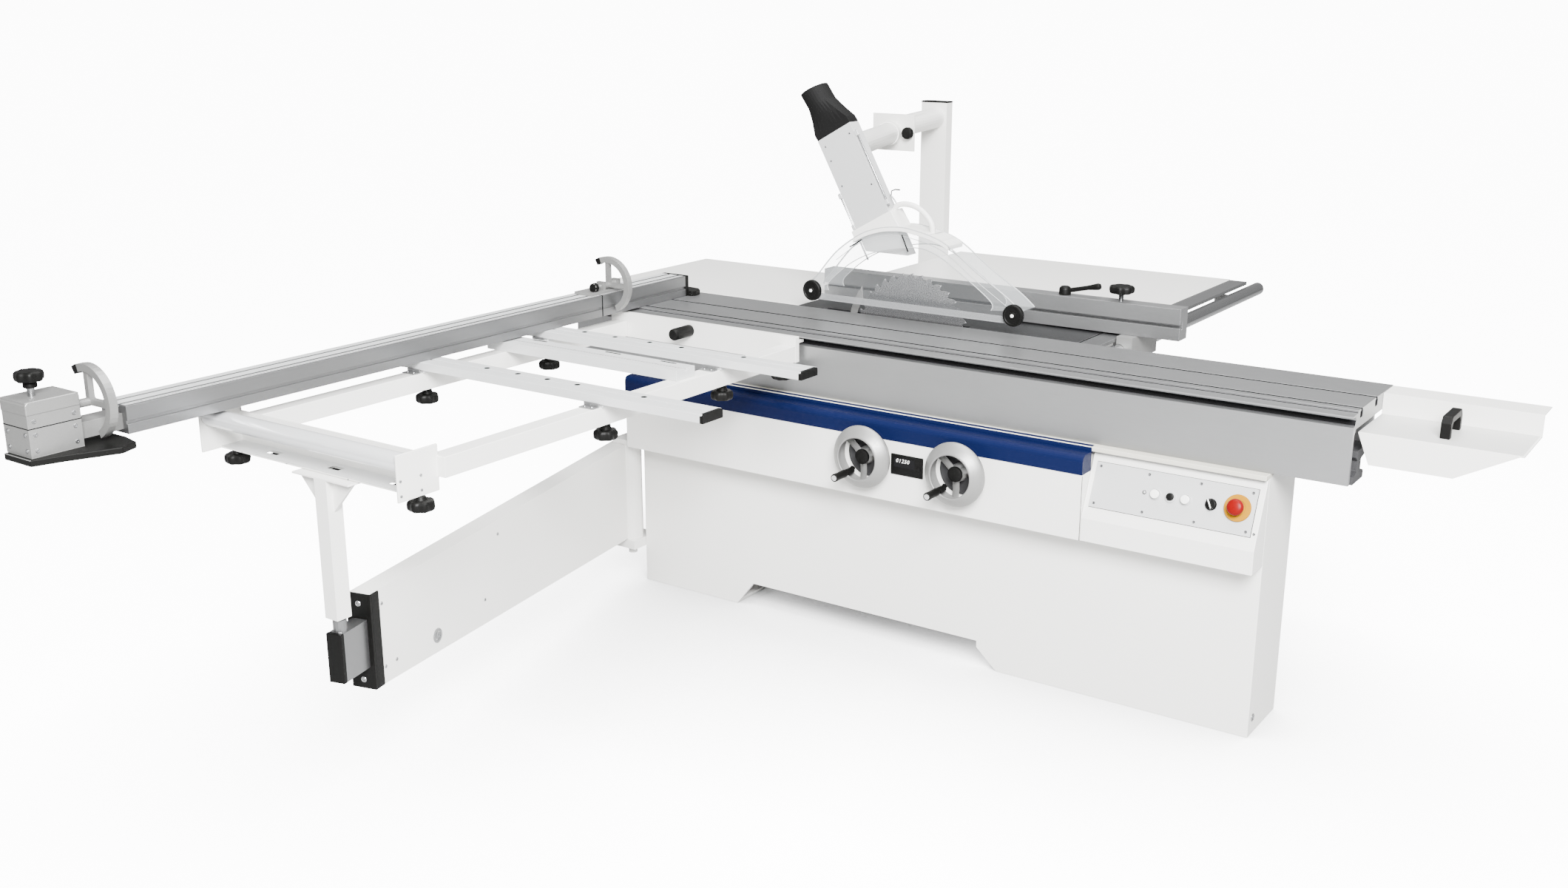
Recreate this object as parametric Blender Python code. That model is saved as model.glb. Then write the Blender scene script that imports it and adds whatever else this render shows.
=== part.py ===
"""Sliding-table panel saw, built as an assembly of separate solids.

Units are metres and +Z is up.  Machine coordinates run from the left end of
the base along +X, from the base's front face towards the rip side along +Y,
and from the floor along +Z.  The root empty shifts the whole machine so that
the origin lies under the middle of its footprint.
"""
import math

import bmesh
import bpy
from mathutils import Matrix, Vector

GAP = 0.0003            # clearance between touching pieces

# Overall layout
TABLE_Z = 0.916         # height of the table surface
BASE_LENGTH = 2.046
BASE_DEPTH = 0.216
BASE_TOP = 0.722
TABLE_LEFT = -0.430     # left end of the fixed tables
TRAY_END = 2.614        # right end of the carriage's end tray
FENCE_OUTER = -2.045    # outer end of the crosscut fence's end block
BAR_END = 1.700         # far end of the rip fence's guide bar
CENTRE_X = (TABLE_LEFT + TRAY_END) / 2
CENTRE_Y = (FENCE_OUTER + BAR_END) / 2

# Sliding carriage
CARRIAGE_LEFT = -0.270
CARRIAGE_RIGHT = 2.236
CARRIAGE_BOTTOM = 0.730
CARRIAGE_REAR = 0.346
SLOT_FRONT = 0.060      # centres of the two T-slots
SLOT_REAR = 0.192
SLOT_WIDTH = 0.012

# Saw unit
BLADE_X = 0.792
BLADE_Y = 0.358
BLADE_R = 0.200
BLADE_Z = 0.860
BLADE_THICK = 0.0032

# Crosscut frame
TUBE = 0.050            # side of the square frame tubes
TUBE_TOP = 0.883
TUBE_LEFT_X = -0.048    # centre lines of the two tubes along Y
TUBE_RIGHT_X = 0.600
ROLLER_Y = -1.530
ROLLER_R = 0.023
FENCE_FACE = -0.021
FENCE_Z = 0.9163
LEG_X = 0.300
LEG_Y = -1.510

# Swing arm
ARM_PIVOT = (-0.040, -0.020)
ARM_LENGTH = 1.444      # from the pivot to the outer bracket
ARM_TOP = 0.475
ARM_ANGLE = math.radians(14.1)

# Guard
GUARD_Y = 0.358
GUARD_HALF = 0.046
WHEEL_LEFT_X = 0.458
WHEEL_RIGHT_X = 1.165
GUARD_WHEEL_Z = 0.981
DUCT_LEAN = math.radians(29.0)
POST_TOP = 1.492

# Rip fence
RIP_FACE = 0.502
RIP_LEFT = 0.372
RIP_RIGHT = 1.596
BAR_X = 1.425
BAR_Z = 0.876
BAR_R = 0.022

WHITE = ("white_paint", (0.80, 0.80, 0.78), 0.45, 0.0)
BLUE = ("blue_paint", (0.018, 0.040, 0.145), 0.40, 0.0)
ALUMINIUM = ("satin_aluminium", (0.56, 0.57, 0.58), 0.35, 1.0)
IRON = ("ground_iron", (0.36, 0.37, 0.38), 0.40, 1.0)
STEEL = ("steel", (0.45, 0.46, 0.47), 0.35, 1.0)
BLACK = ("black_plastic", (0.018, 0.018, 0.018), 0.45, 0.0)
RUBBER = ("black_rubber", (0.015, 0.015, 0.016), 0.70, 0.0)
PLATE = ("grey_plate", (0.62, 0.63, 0.64), 0.40, 0.0)
RED = ("red_plastic", (0.60, 0.012, 0.010), 0.35, 0.0)
YELLOW = ("yellow_plastic", (0.85, 0.60, 0.010), 0.40, 0.0)
IVORY = ("button_white", (0.82, 0.82, 0.80), 0.30, 0.0)
CLEAR = ("clear_polycarbonate", (0.80, 0.84, 0.86), 0.10, 0.0)
CAST = ("cast_aluminium", (0.50, 0.50, 0.49), 0.45, 1.0)


def clear_scene():
    """Remove every object that the file opens with."""
    for obj in list(bpy.data.objects):
        bpy.data.objects.remove(obj, do_unlink=True)


def material(spec):
    """Return the named Principled material, making it on first use."""
    name, colour, roughness, metallic = spec
    mat = bpy.data.materials.get(name)
    if mat is None:
        mat = bpy.data.materials.new(name)
        mat.use_nodes = True
        shader = mat.node_tree.nodes["Principled BSDF"]
        shader.inputs["Base Color"].default_value = (*colour, 1.0)
        shader.inputs["Roughness"].default_value = roughness
        shader.inputs["Metallic"].default_value = metallic
        mat.diffuse_color = (*colour, 1.0)
    return mat


PLACES = {}


def pivot(name, place, parent=None):
    """Add an empty at a place; the pieces that move together hang from it."""
    obj = bpy.data.objects.new(name, None)
    obj.empty_display_size = 0.05
    PLACES[name] = Vector(place)
    if parent is None:
        obj.location = (-CENTRE_X, -CENTRE_Y, 0)
    else:
        obj.parent = parent
        obj.location = PLACES[name] - PLACES[parent.name]
    bpy.context.collection.objects.link(obj)
    return obj


def add(name, bm, spec, parent, origin=(0, 0, 0)):
    """Turn a bmesh in machine coordinates into a named object with its origin at a point."""
    origin = Vector(origin)
    bmesh.ops.translate(bm, vec=-origin, verts=bm.verts)
    bmesh.ops.recalc_face_normals(bm, faces=bm.faces)
    mesh = bpy.data.meshes.new(name)
    bm.to_mesh(mesh)
    bm.free()
    mesh.materials.append(material(spec))
    obj = bpy.data.objects.new(name, mesh)
    obj.parent = parent
    obj.location = origin - PLACES[parent.name]
    bpy.context.collection.objects.link(obj)
    return obj


def combine(obj, tools, operation):
    """Apply Booleans with bmeshes in machine coordinates, then remove the tools."""
    for tool in tools:
        bmesh.ops.recalc_face_normals(tool, faces=tool.faces)
        mesh = bpy.data.meshes.new("tool")
        tool.to_mesh(mesh)
        tool.free()
        other = bpy.data.objects.new("tool", mesh)
        other.parent = obj.parent
        other.location = -PLACES[obj.parent.name]
        other.hide_render = True
        other.display_type = "WIRE"
        bpy.context.collection.objects.link(other)
        step = obj.modifiers.new(operation.lower(), "BOOLEAN")
        step.solver = "EXACT"
        step.operation = operation
        step.object = other
        bpy.context.view_layer.update()
        graph = bpy.context.evaluated_depsgraph_get()
        shaped = bpy.data.meshes.new_from_object(obj.evaluated_get(graph))
        obj.modifiers.clear()
        obj.data = shaped
        bpy.data.objects.remove(other, do_unlink=True)
    return obj


def cut(obj, *tools):
    """Take the tools away from an object."""
    return combine(obj, tools, "DIFFERENCE")


def join(obj, *tools):
    """Merge the tools into an object."""
    return combine(obj, tools, "UNION")


def carve(bm, *tools):
    """Take tools away from a bmesh and return the result as a new bmesh."""
    obj = cut(add("blank", bm, WHITE, ROOT), *tools)
    result = bmesh.new()
    result.from_mesh(obj.data)
    bpy.data.objects.remove(obj, do_unlink=True)
    return result


def moved(bm, matrix):
    """Transform a bmesh and hand it back."""
    bmesh.ops.transform(bm, matrix=matrix, verts=bm.verts)
    return bm


def turn_to(axis):
    """Matrix that carries local +Z onto the given direction."""
    return Vector(axis).normalized().to_track_quat("Z", "Y").to_matrix().to_4x4()


def block(low, high):
    """Bmesh of a box between two corners."""
    bm = bmesh.new()
    bmesh.ops.create_cube(bm, size=1.0)
    size = [h - l for l, h in zip(low, high)]
    middle = [(h + l) / 2 for l, h in zip(low, high)]
    bmesh.ops.scale(bm, vec=size, verts=bm.verts)
    bmesh.ops.translate(bm, vec=middle, verts=bm.verts)
    return bm


def prism(outline, start, stop, along="X"):
    """Bmesh of a flat outline pushed along an axis.

    The outline's two numbers are (Y, Z) along X, (X, Z) along Y and
    (X, Y) along Z.
    """
    place = {
        "X": lambda a, b, t: (t, a, b),
        "Y": lambda a, b, t: (a, t, b),
        "Z": lambda a, b, t: (a, b, t),
    }[along]
    bm = bmesh.new()
    near = [bm.verts.new(place(a, b, start)) for a, b in outline]
    far = [bm.verts.new(place(a, b, stop)) for a, b in outline]
    bm.faces.new(near)
    bm.faces.new(far)
    count = len(outline)
    for i in range(count):
        j = (i + 1) % count
        bm.faces.new((near[i], near[j], far[j], far[i]))
    return bm


def ring_of(bm, radius, height, segments):
    """Add one ring of vertices round the Z axis."""
    ring = []
    for i in range(segments):
        angle = 2 * math.pi * i / segments
        ring.append(bm.verts.new((radius * math.cos(angle), radius * math.sin(angle), height)))
    return ring


def bridge(bm, lower, upper):
    """Join two rings of the same length with quads."""
    count = len(lower)
    for i in range(count):
        j = (i + 1) % count
        bm.faces.new((lower[i], lower[j], upper[j], upper[i]))


def turned(profile, segments=24, axis=(0, 0, 1), centre=(0, 0, 0)):
    """Bmesh of a solid of revolution from (radius, height) pairs, with flat ends."""
    bm = bmesh.new()
    rings = [ring_of(bm, radius, height, segments) for radius, height in profile]
    for lower, upper in zip(rings, rings[1:]):
        bridge(bm, lower, upper)
    bm.faces.new(rings[0])
    bm.faces.new(rings[-1])
    return moved(bm, Matrix.Translation(centre) @ turn_to(axis))


def turned_ring(profile, segments=32, axis=(0, 0, 1), centre=(0, 0, 0)):
    """Bmesh of a ring from a closed (radius, height) profile that never meets the axis."""
    bm = bmesh.new()
    rings = [ring_of(bm, radius, height, segments) for radius, height in profile]
    for lower, upper in zip(rings, rings[1:] + rings[:1]):
        bridge(bm, lower, upper)
    return moved(bm, Matrix.Translation(centre) @ turn_to(axis))


def rod(start, stop, radius, segments=16):
    """Bmesh of a straight round bar between two points."""
    axis = Vector(stop) - Vector(start)
    return turned([(radius, 0), (radius, axis.length)], segments, axis, start)


def swept_tube(points, radius, segments=10):
    """Bmesh of a round bar along a path that stays in one plane."""
    bm = bmesh.new()
    points = [Vector(p) for p in points]
    count = len(points)
    across = (points[1] - points[0]).cross(points[-1] - points[0]).normalized()
    rings = []
    for k in range(count):
        ahead = (points[min(k + 1, count - 1)] - points[max(k - 1, 0)]).normalized()
        side = ahead.cross(across)
        ring = []
        for i in range(segments):
            angle = 2 * math.pi * i / segments
            offset = across * math.cos(angle) + side * math.sin(angle)
            ring.append(bm.verts.new(points[k] + offset * radius))
        rings.append(ring)
    for lower, upper in zip(rings, rings[1:]):
        bridge(bm, lower, upper)
    bm.faces.new(rings[0])
    bm.faces.new(rings[-1])
    return bm


def arc(centre, radius, start, stop, steps):
    """Points on an arc, with angles in degrees."""
    points = []
    for i in range(steps + 1):
        angle = math.radians(start + (stop - start) * i / steps)
        points.append((centre[0] + radius * math.cos(angle), centre[1] + radius * math.sin(angle)))
    return points


def knob(radius, height, stem, stem_height, centre, segments=20):
    """Bmesh of a round knob on a stem, standing up along +Z or hanging along -Z."""
    sign = 1 if height > 0 else -1
    edge = 0.15 * height
    profile = [(stem, 0), (stem, stem_height), (radius * 0.9, stem_height), (radius, stem_height + edge),
               (radius, stem_height + height - edge), (radius * 0.88, stem_height + height)]
    if sign < 0:
        profile.reverse()
    return turned(profile, segments, (0, 0, 1), centre)


# ---------------------------------------------------------------- fixed body

FASCIA_FRONT = -0.083
FASCIA_LOW = 0.481
FASCIA_HIGH = 0.663
BOX_LEFT = 1.577
SKIN = 0.008


def base_frame():
    """Folded base with a plinth recess and the light strip along its top edge."""
    wall = 0.012
    body = add("base_frame", block((0, 0, 0), (BASE_LENGTH, BASE_DEPTH, BASE_TOP)), WHITE, ROOT)
    notch = [(0.376, -0.01), (0.376, 0), (0.439, 0.079), (1.238, 0.079), (1.238, 0.061),
             (1.305, 0), (1.305, -0.01)]
    cut(
        body,
        block((wall, wall, 0.02), (BASE_LENGTH - wall, BASE_DEPTH + 0.01, BASE_TOP - 0.018)),
        block((wall, 0.135, 0.60), (BASE_LENGTH - wall, BASE_DEPTH + 0.01, BASE_TOP + 0.01)),
        prism(notch, -0.01, BASE_DEPTH + 0.01, "Y"),
    )
    rim = [(-0.0300, 0.7165), (-0.0300, 0.7262), (0.020, 0.7292), (0.020, 0.7165)]
    join(body, prism(rim, 0, BASE_LENGTH))


def front_fascia():
    """White pressed cover along the front, open at the back."""
    inside = FASCIA_FRONT + SKIN
    section = [(FASCIA_FRONT, FASCIA_LOW), (-GAP, FASCIA_LOW), (-GAP, FASCIA_LOW + SKIN),
               (inside, FASCIA_LOW + SKIN), (inside, FASCIA_HIGH), (FASCIA_FRONT, FASCIA_HIGH)]
    end = [(FASCIA_FRONT, FASCIA_LOW), (-GAP, FASCIA_LOW), (-GAP, FASCIA_HIGH), (FASCIA_FRONT, FASCIA_HIGH)]
    right = BOX_LEFT - GAP
    cover = add("front_fascia", prism(section, 0, right), WHITE, ROOT)
    join(cover, prism(end, 0, SKIN), prism(end, right - SKIN, right))


def blue_band():
    """Blue cover above the fascia, rounded over to the strip on the base."""
    low = FASCIA_HIGH + GAP
    bend = (FASCIA_FRONT + 0.016, 0.698)
    right = BOX_LEFT - GAP
    outer = [(bend[0] - 0.018, low)] + arc(bend, 0.018, 180, 90, 5) + [(-0.0305, 0.7160)]
    inner = [(-0.0305, 0.7100)] + arc(bend, 0.012, 90, 180, 5) + [(bend[0] - 0.012, low)]
    band = add("blue_band", prism(outer + inner, 0, right), BLUE, ROOT)
    end = outer + [(-0.0305, low)]
    join(band, prism(end, 0, SKIN), prism(end, right - SKIN, right))


FACE_LOW = (-0.080, 0.544)      # (Y, Z) where the control face starts to lean back
FACE_HIGH = (-0.016, 0.702)
FACE_LEAN = math.atan2(FACE_HIGH[0] - FACE_LOW[0], FACE_HIGH[1] - FACE_LOW[1])
FACE_NORMAL = Vector((0.0, -math.cos(FACE_LEAN), math.sin(FACE_LEAN)))
PLATE_THICK = 0.003


def on_face(x, z, lift=0.0):
    """Point on the leaning control face, raised by lift along its normal."""
    share = (z - FACE_LOW[1]) / (FACE_HIGH[1] - FACE_LOW[1])
    y = FACE_LOW[0] + share * (FACE_HIGH[0] - FACE_LOW[0])
    return Vector((x, y, z)) + FACE_NORMAL * lift


def control_box():
    """White switch box with its grey plate, buttons, selector and stop."""
    outline = [(-0.080, FASCIA_LOW), FACE_LOW, FACE_HIGH, (-0.0120, 0.7160),
               (-GAP, 0.7160), (-GAP, FASCIA_LOW)]
    low = FASCIA_LOW + SKIN
    hollow = [(-0.072, low), (-0.072, 0.545), (-0.0135, 0.690), (0.01, 0.690), (0.01, low)]
    box = add("control_box", prism(outline, BOX_LEFT, BASE_LENGTH), WHITE, ROOT)
    cut(box, prism(hollow, BOX_LEFT + SKIN, BASE_LENGTH - SKIN))
    plate = block((-0.218, -PLATE_THICK, -0.061), (0.218, 0, 0.061))
    lean = Matrix.Translation(on_face(1.811, 0.633, GAP)) @ Matrix.Rotation(-FACE_LEAN, 4, "X")
    add("control_plate", moved(plate, lean), PLATE, ROOT)
    lift = PLATE_THICK + 2 * GAP
    push = 0.003
    cap = [(0.0125, 0), (0.0125, 0.009), (0.0105, 0.011)]
    for name, x, spec in (("start_button", 1.767, IVORY), ("stop_button", 1.808, BLACK),
                          ("second_start_button", 1.849, IVORY)):
        seat = on_face(x, 0.635, lift + push)
        add(name, turned(cap, 20, FACE_NORMAL, seat), spec, ROOT, seat)
    seat = on_face(1.916, 0.635, lift)
    dial = [(0.0155, 0), (0.0155, 0.008), (0.0135, 0.016)]
    add("selector_switch", turned(dial, 20, FACE_NORMAL, seat), BLACK, ROOT, seat)
    seat = on_face(1.985, 0.638, lift)
    collar = [(0.0350, 0), (0.0350, 0.004), (0.0330, 0.006)]
    add("stop_collar", turned(collar, 32, FACE_NORMAL, seat), YELLOW, ROOT)
    seat = on_face(1.985, 0.638, lift + 0.006 + 0.005)
    head = [(0.0130, 0), (0.0130, 0.010), (0.0215, 0.013), (0.0215, 0.020), (0.0150, 0.025)]
    add("emergency_stop", turned(head, 24, FACE_NORMAL, seat), RED, ROOT, seat)


def slideway():
    """Fixed guide rail on the base that the carriage rolls along."""
    outline = [(0.040, BASE_TOP + GAP), (0.130, BASE_TOP + GAP), (0.130, 0.742), (0.100, 0.752),
               (0.100, 0.778), (0.158, 0.790), (0.158, 0.806), (0.054, 0.806), (0.054, 0.790),
               (0.070, 0.778), (0.070, 0.752), (0.040, 0.742)]
    add("slideway", prism(outline, 0.0, CARRIAGE_RIGHT), IRON, ROOT)


def cabinet():
    """Sheet cabinet behind the base that carries the tables and holds the saw unit."""
    left, right, near, far = 0.300, 1.300, BASE_DEPTH + GAP, 0.900
    top = TABLE_Z - 0.040 - GAP
    wall = 0.012
    shell = add("cabinet", block((left, near, 0.0), (right, far, top)), WHITE, ROOT)
    port = turned([(0.050, 0), (0.050, 0.06)], 24, (0, 1, 0), (0.62, far - 0.03, 0.20))
    cut(
        shell,
        block((left + wall, near - 0.01, 0.03), (right - wall, far - wall, top + 0.01)),
        block((left - 0.01, 0.850, 0.860), (right + 0.01, far + 0.01, top + 0.01)),
        block((left - 0.01, near - 0.01, 0.700), (right + 0.01, TABLE_FRONT, top + 0.01)),
        port,
    )


MAIN_LEFT = 0.372
MAIN_RIGHT = 1.352
TABLE_FRONT = 0.350
SEAM_Y = 0.840
STEP_X = 0.280


def tables():
    """Cast main table with its blade slot, and the two white extension tables."""
    under = TABLE_Z - 0.040
    plate = block((MAIN_LEFT, TABLE_FRONT, under), (MAIN_RIGHT, SEAM_Y, TABLE_Z))
    main = add("main_table", plate, IRON, ROOT)
    cut(
        main,
        block((0.480, TABLE_FRONT - 0.01, under - 0.01), (0.992, 0.3665, TABLE_Z + 0.01)),
        block((0.400, 0.380, under - 0.01), (1.330, SEAM_Y - 0.03, TABLE_Z - 0.014)),
        block((0.470, TABLE_FRONT - 0.01, under - 0.01), (1.330, 0.390, TABLE_Z - 0.014)),
    )
    left = [(TABLE_LEFT, TABLE_FRONT), (MAIN_LEFT - GAP, TABLE_FRONT), (MAIN_LEFT - GAP, SEAM_Y + GAP),
            (STEP_X - GAP, SEAM_Y + GAP), (STEP_X - GAP, 0.905), (TABLE_LEFT, 0.905)]
    add("left_table", prism(left, TABLE_Z - 0.035, TABLE_Z, "Z"), WHITE, ROOT)
    rear = [(STEP_X, SEAM_Y + 2 * GAP), (1.356, SEAM_Y + 2 * GAP), (1.356, 1.605), (STEP_X, 1.605)]
    add("rear_table", prism(rear, TABLE_Z - 0.035, TABLE_Z, "Z"), WHITE, ROOT)


def table_frame():
    """Welded carrier under the extension tables, out to the guard's post."""
    top = TABLE_Z - 0.035 - GAP
    low = 0.8603
    frame = add("table_frame", block((0.290, 0.855, low), (0.330, 1.590, top)), WHITE, ROOT)
    strut = [(0.9003, 0.450), (0.9303, 0.450), (1.580, 0.8650), (1.530, 0.8650), (0.9003, 0.485)]
    join(
        frame,
        block((1.270, 0.855, low), (1.310, 1.590, top)),
        block((0.290, 1.545, low), (1.310, 1.585, top)),
        block((-0.380, 0.855, low), (1.310, 0.899, top)),
        block((-0.380, 0.380, low), (-0.340, 0.899, top)),
        prism(strut, 0.790, 0.815),
    )


def rip_rails():
    """Scale rail on the tables' end and the round guide bar beside it."""
    add("scale_rail", block((1.3565, 0.352, 0.9035), (1.417, 1.600, 0.9145)), ALUMINIUM, ROOT)
    start = 0.400
    length = BAR_END - start
    end = [(BAR_R - 0.003, 0), (BAR_R, 0.003), (BAR_R, length - 0.003), (BAR_R - 0.003, length)]
    guide = add("guide_bar", turned(end, 24, (0, 1, 0), (BAR_X, start, BAR_Z)), STEEL, ROOT)
    for y in (0.62, 1.48):
        join(guide, block((1.3565, y - 0.025, BAR_Z - 0.016), (BAR_X, y + 0.025, BAR_Z + 0.004)))


POST_LEFT = 0.168
POST_RIGHT = 0.276
POST_NEAR = 1.4705
POST_FAR = 1.5135
CLAMP_PLATE_Y = 1.186
ARM_START = Vector((0.205, CLAMP_PLATE_Y, 1.397))
ARM_END = Vector((0.530, 0.3833, 1.420))
GUARD_TUBE_R = 0.0375
GUARD_ARM_AXIS = (ARM_END - ARM_START).normalized()


def guard_post():
    """Post with the upper tube and clamp plate that hold the guard's arm."""
    column = block((POST_LEFT, POST_NEAR, 0.640), (POST_RIGHT, POST_FAR, POST_TOP))
    wall = 0.004
    hollow = block((POST_LEFT + wall, POST_NEAR + wall, 0.60), (POST_RIGHT - wall, POST_FAR - wall, 1.480))
    post = add("guard_post", column, WHITE, ROOT)
    cut(post, hollow)
    plate_back = CLAMP_PLATE_Y + 0.006
    sleeve = [(0.0383, -0.03), (0.0425, -0.03), (0.0425, 0.080), (0.0383, 0.080)]
    join(
        post,
        block((0.270, 1.475, 0.640), (0.290 - GAP, 1.510, 0.880)),
        rod((0.229, POST_NEAR + 0.003, 1.433), (0.262, plate_back - 0.003, 1.425), GUARD_TUBE_R, 24),
        block((0.130, CLAMP_PLATE_Y, 1.334), (0.303, plate_back, 1.4645)),
        carve(
            turned_ring(sleeve, 24, GUARD_ARM_AXIS, ARM_START),
            block((0.0, CLAMP_PLATE_Y + 0.003, 1.2), (0.5, CLAMP_PLATE_Y + 0.1, 1.6)),
        ),
    )
    seat = Vector((0.287, CLAMP_PLATE_Y - GAP, 1.400))
    grip = [(0.006, 0), (0.006, 0.010), (0.020, 0.010), (0.022, 0.014), (0.022, 0.026), (0.018, 0.030)]
    add("guard_clamp_knob", turned(grip, 20, (0, -1, 0), seat), BLACK, ROOT, seat)


# ---------------------------------------------------------------- carriage

def t_slot(centre):
    """Outline of one T-slot in the carriage's top, from its rear edge to its front edge."""
    half = SLOT_WIDTH / 2
    wide = 0.012
    near = [(centre - half, TABLE_Z), (centre - half, 0.910), (centre - wide, 0.910), (centre - wide, 0.893)]
    return near + [(2 * centre - y, z) for y, z in reversed(near)]


def carriage(slide):
    """Aluminium carriage section with its lip, side groove and two T-slots."""
    outline = [(0.0, CARRIAGE_BOTTOM), (0.0, 0.878), (0.014, 0.882), (0.018, 0.893), (0.012, 0.903),
               (-0.016, 0.905), (-0.016, 0.909), (0.030, 0.910), (0.030, TABLE_Z)]
    outline += t_slot(SLOT_FRONT) + t_slot(SLOT_REAR)
    outline += [(CARRIAGE_REAR, TABLE_Z), (CARRIAGE_REAR, 0.912), (0.304, 0.870), (0.190, 0.870),
                (0.190, 0.780), (0.180, 0.780), (0.180, 0.870), (0.024, 0.870), (0.012, 0.858),
                (0.012, CARRIAGE_BOTTOM)]
    add("carriage", prism(outline, CARRIAGE_LEFT, CARRIAGE_RIGHT), ALUMINIUM, slide)


def end_tray(slide):
    """Folded white tray at the operator's end, with its black bow handle."""
    left = CARRIAGE_RIGHT + GAP
    section = [(0.346, 0.914), (0.254, 0.914), (0.254, 0.859), (0.046, 0.859), (0.046, 0.779),
               (0.049, 0.779), (0.049, 0.856), (0.257, 0.856), (0.257, 0.911), (0.346, 0.911)]
    tray = add("end_tray", prism(section, left, TRAY_END), WHITE, slide)
    cut(
        tray,
        prism([(2.465, 0.770), (2.465, 0.780), (2.604, 0.8555), (2.65, 0.8555), (2.65, 0.770)],
              0.04, 0.06, "Y"),
        prism([(2.20, 0.770), (2.267, 0.770), (2.267, 0.779), (left, 0.8555), (2.20, 0.8555)],
              0.04, 0.06, "Y"),
    )
    x = 2.425
    foot = 0.859 + GAP
    near = [(x, 0.103, foot), (x, 0.103, 0.886), (x, 0.108, 0.898), (x, 0.120, 0.904), (x, 0.154, 0.906)]
    far = [(x, 0.308 - y, z) for x, y, z in reversed(near[:-1])]
    add("tray_handle", swept_tube(near + far, 0.009), BLACK, slide)


FRAME_INNER = -0.0365
FRAME_OUTER = -1.441


def crosscut_frame(slide):
    """Inner rail, the white frame of two square tubes, and the outer angle with its end plates."""
    bar = block((-0.090, FRAME_INNER + GAP, 0.831), (0.625, -0.0168, 0.909))
    rail = add("inner_rail", bar, WHITE, slide)
    join(rail, block((-0.090, -0.020, 0.888), (0.625, 0.008, 0.898)))
    half = TUBE / 2
    low = TUBE_TOP - TUBE
    angle_low = 0.800
    web = block((-0.1085, FRAME_OUTER, angle_low), (0.6005, FRAME_OUTER + 0.006, TUBE_TOP))
    frame = add("crosscut_frame", web, WHITE, slide)
    for x in (TUBE_LEFT_X, TUBE_RIGHT_X):
        join(frame, block((x - half, FRAME_OUTER + 0.002, low), (x + half, FRAME_INNER, TUBE_TOP)))
        cut(frame, block((x - half + 0.003, FRAME_OUTER + 0.010, low + 0.003),
                         (x + half - 0.003, FRAME_INNER + 0.01, TUBE_TOP - 0.003)))
    join(frame, block((-0.1085, -1.505, angle_low), (0.6005, FRAME_OUTER + 0.003, angle_low + 0.005)))
    for x in (0.060, 0.285, 0.500):
        cut(frame, block((x - 0.035, -1.480, angle_low - 0.01), (x + 0.035, -1.460, angle_low + 0.01)))
    for x in (-0.1085, 0.5945):
        join(frame, block((x, -1.558, angle_low), (x + 0.006, FRAME_OUTER + 0.006, 0.911)))


def frame_bars(slide):
    """Three aluminium bars across the frame, with one slot along the top of each."""
    for name, near, far, right, low, top in (
        ("near_table_bar", -0.415, -0.337, 0.900, 0.893, 0.9155),
        ("scale_bar", -0.580, -0.500, 0.610, TUBE_TOP + GAP, 0.912),
        ("far_table_bar", -0.910, -0.830, 0.950, 0.892, 0.9155),
    ):
        middle = (near + far) / 2
        section = [(near, low), (near, top), (middle - 0.005, top), (middle - 0.005, top - 0.008),
                   (middle + 0.005, top - 0.008), (middle + 0.005, top), (far, top), (far, low)]
        bar = add(name, prism(section, -0.100, right), ALUMINIUM, slide)
        if low > TUBE_TOP + 0.005:
            for x in (TUBE_LEFT_X, TUBE_RIGHT_X):
                low_corner = (x - 0.030, near + 0.006, TUBE_TOP + GAP)
                join(bar, block(low_corner, (x + 0.030, far - 0.006, low + 0.002)))


def bar_knobs(slide):
    """Clamp knobs hanging below the right-hand tube."""
    for name, y in (("bar_knob_near", -0.366), ("bar_knob_far", -0.862)):
        seat = (TUBE_RIGHT_X, y, TUBE_TOP - TUBE - GAP)
        add(name, knob(0.031, -0.028, 0.007, -0.018, seat), BLACK, slide, seat)


def roller(slide):
    """Outer roller on its two stub ends."""
    left = -0.1020
    right = 0.5940
    length = right - left
    profile = [(0.006, 0), (0.006, 0.006), (ROLLER_R, 0.006), (ROLLER_R, length - 0.006),
               (0.006, length - 0.006), (0.006, length)]
    seat = (left, ROLLER_Y, 0.886)
    add("outer_roller", turned(profile, 24, (1, 0, 0), seat), STEEL, slide, seat)


def support_leg(slide):
    """Square leg under the frame's outer angle, with two gussets."""
    half = 0.022
    top = 0.800 - GAP
    leg = add("support_leg", block((LEG_X - half, LEG_Y - half, 0.443), (LEG_X + half, LEG_Y + half, top)),
              WHITE, slide)
    cut(leg, block((LEG_X - half + 0.003, LEG_Y - half + 0.003, 0.430),
                   (LEG_X + half - 0.003, LEG_Y + half - 0.003, 0.780)))
    gusset = [(LEG_X - 0.100, top), (LEG_X - half, 0.715), (LEG_X + half, 0.715), (LEG_X + 0.100, top)]
    join(leg, prism(gusset, LEG_Y - 0.005, LEG_Y + 0.005, "Y"),
         block((LEG_X - 0.100, LEG_Y - half, top - 0.005), (LEG_X + 0.100, -1.445, top)))


# ---------------------------------------------------------------- crosscut fence

FENCE_PIVOT = (-0.070, 0.200, 0.950)
FENCE_BACK = -0.120
FENCE_END = -1.800
FENCE_TOP = 0.983
STOP_X = -0.050          # axis of the flip stops, along Y
STOP_Z = 1.005
STOP_R = 0.088
STOP_BORE = 0.070


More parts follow.
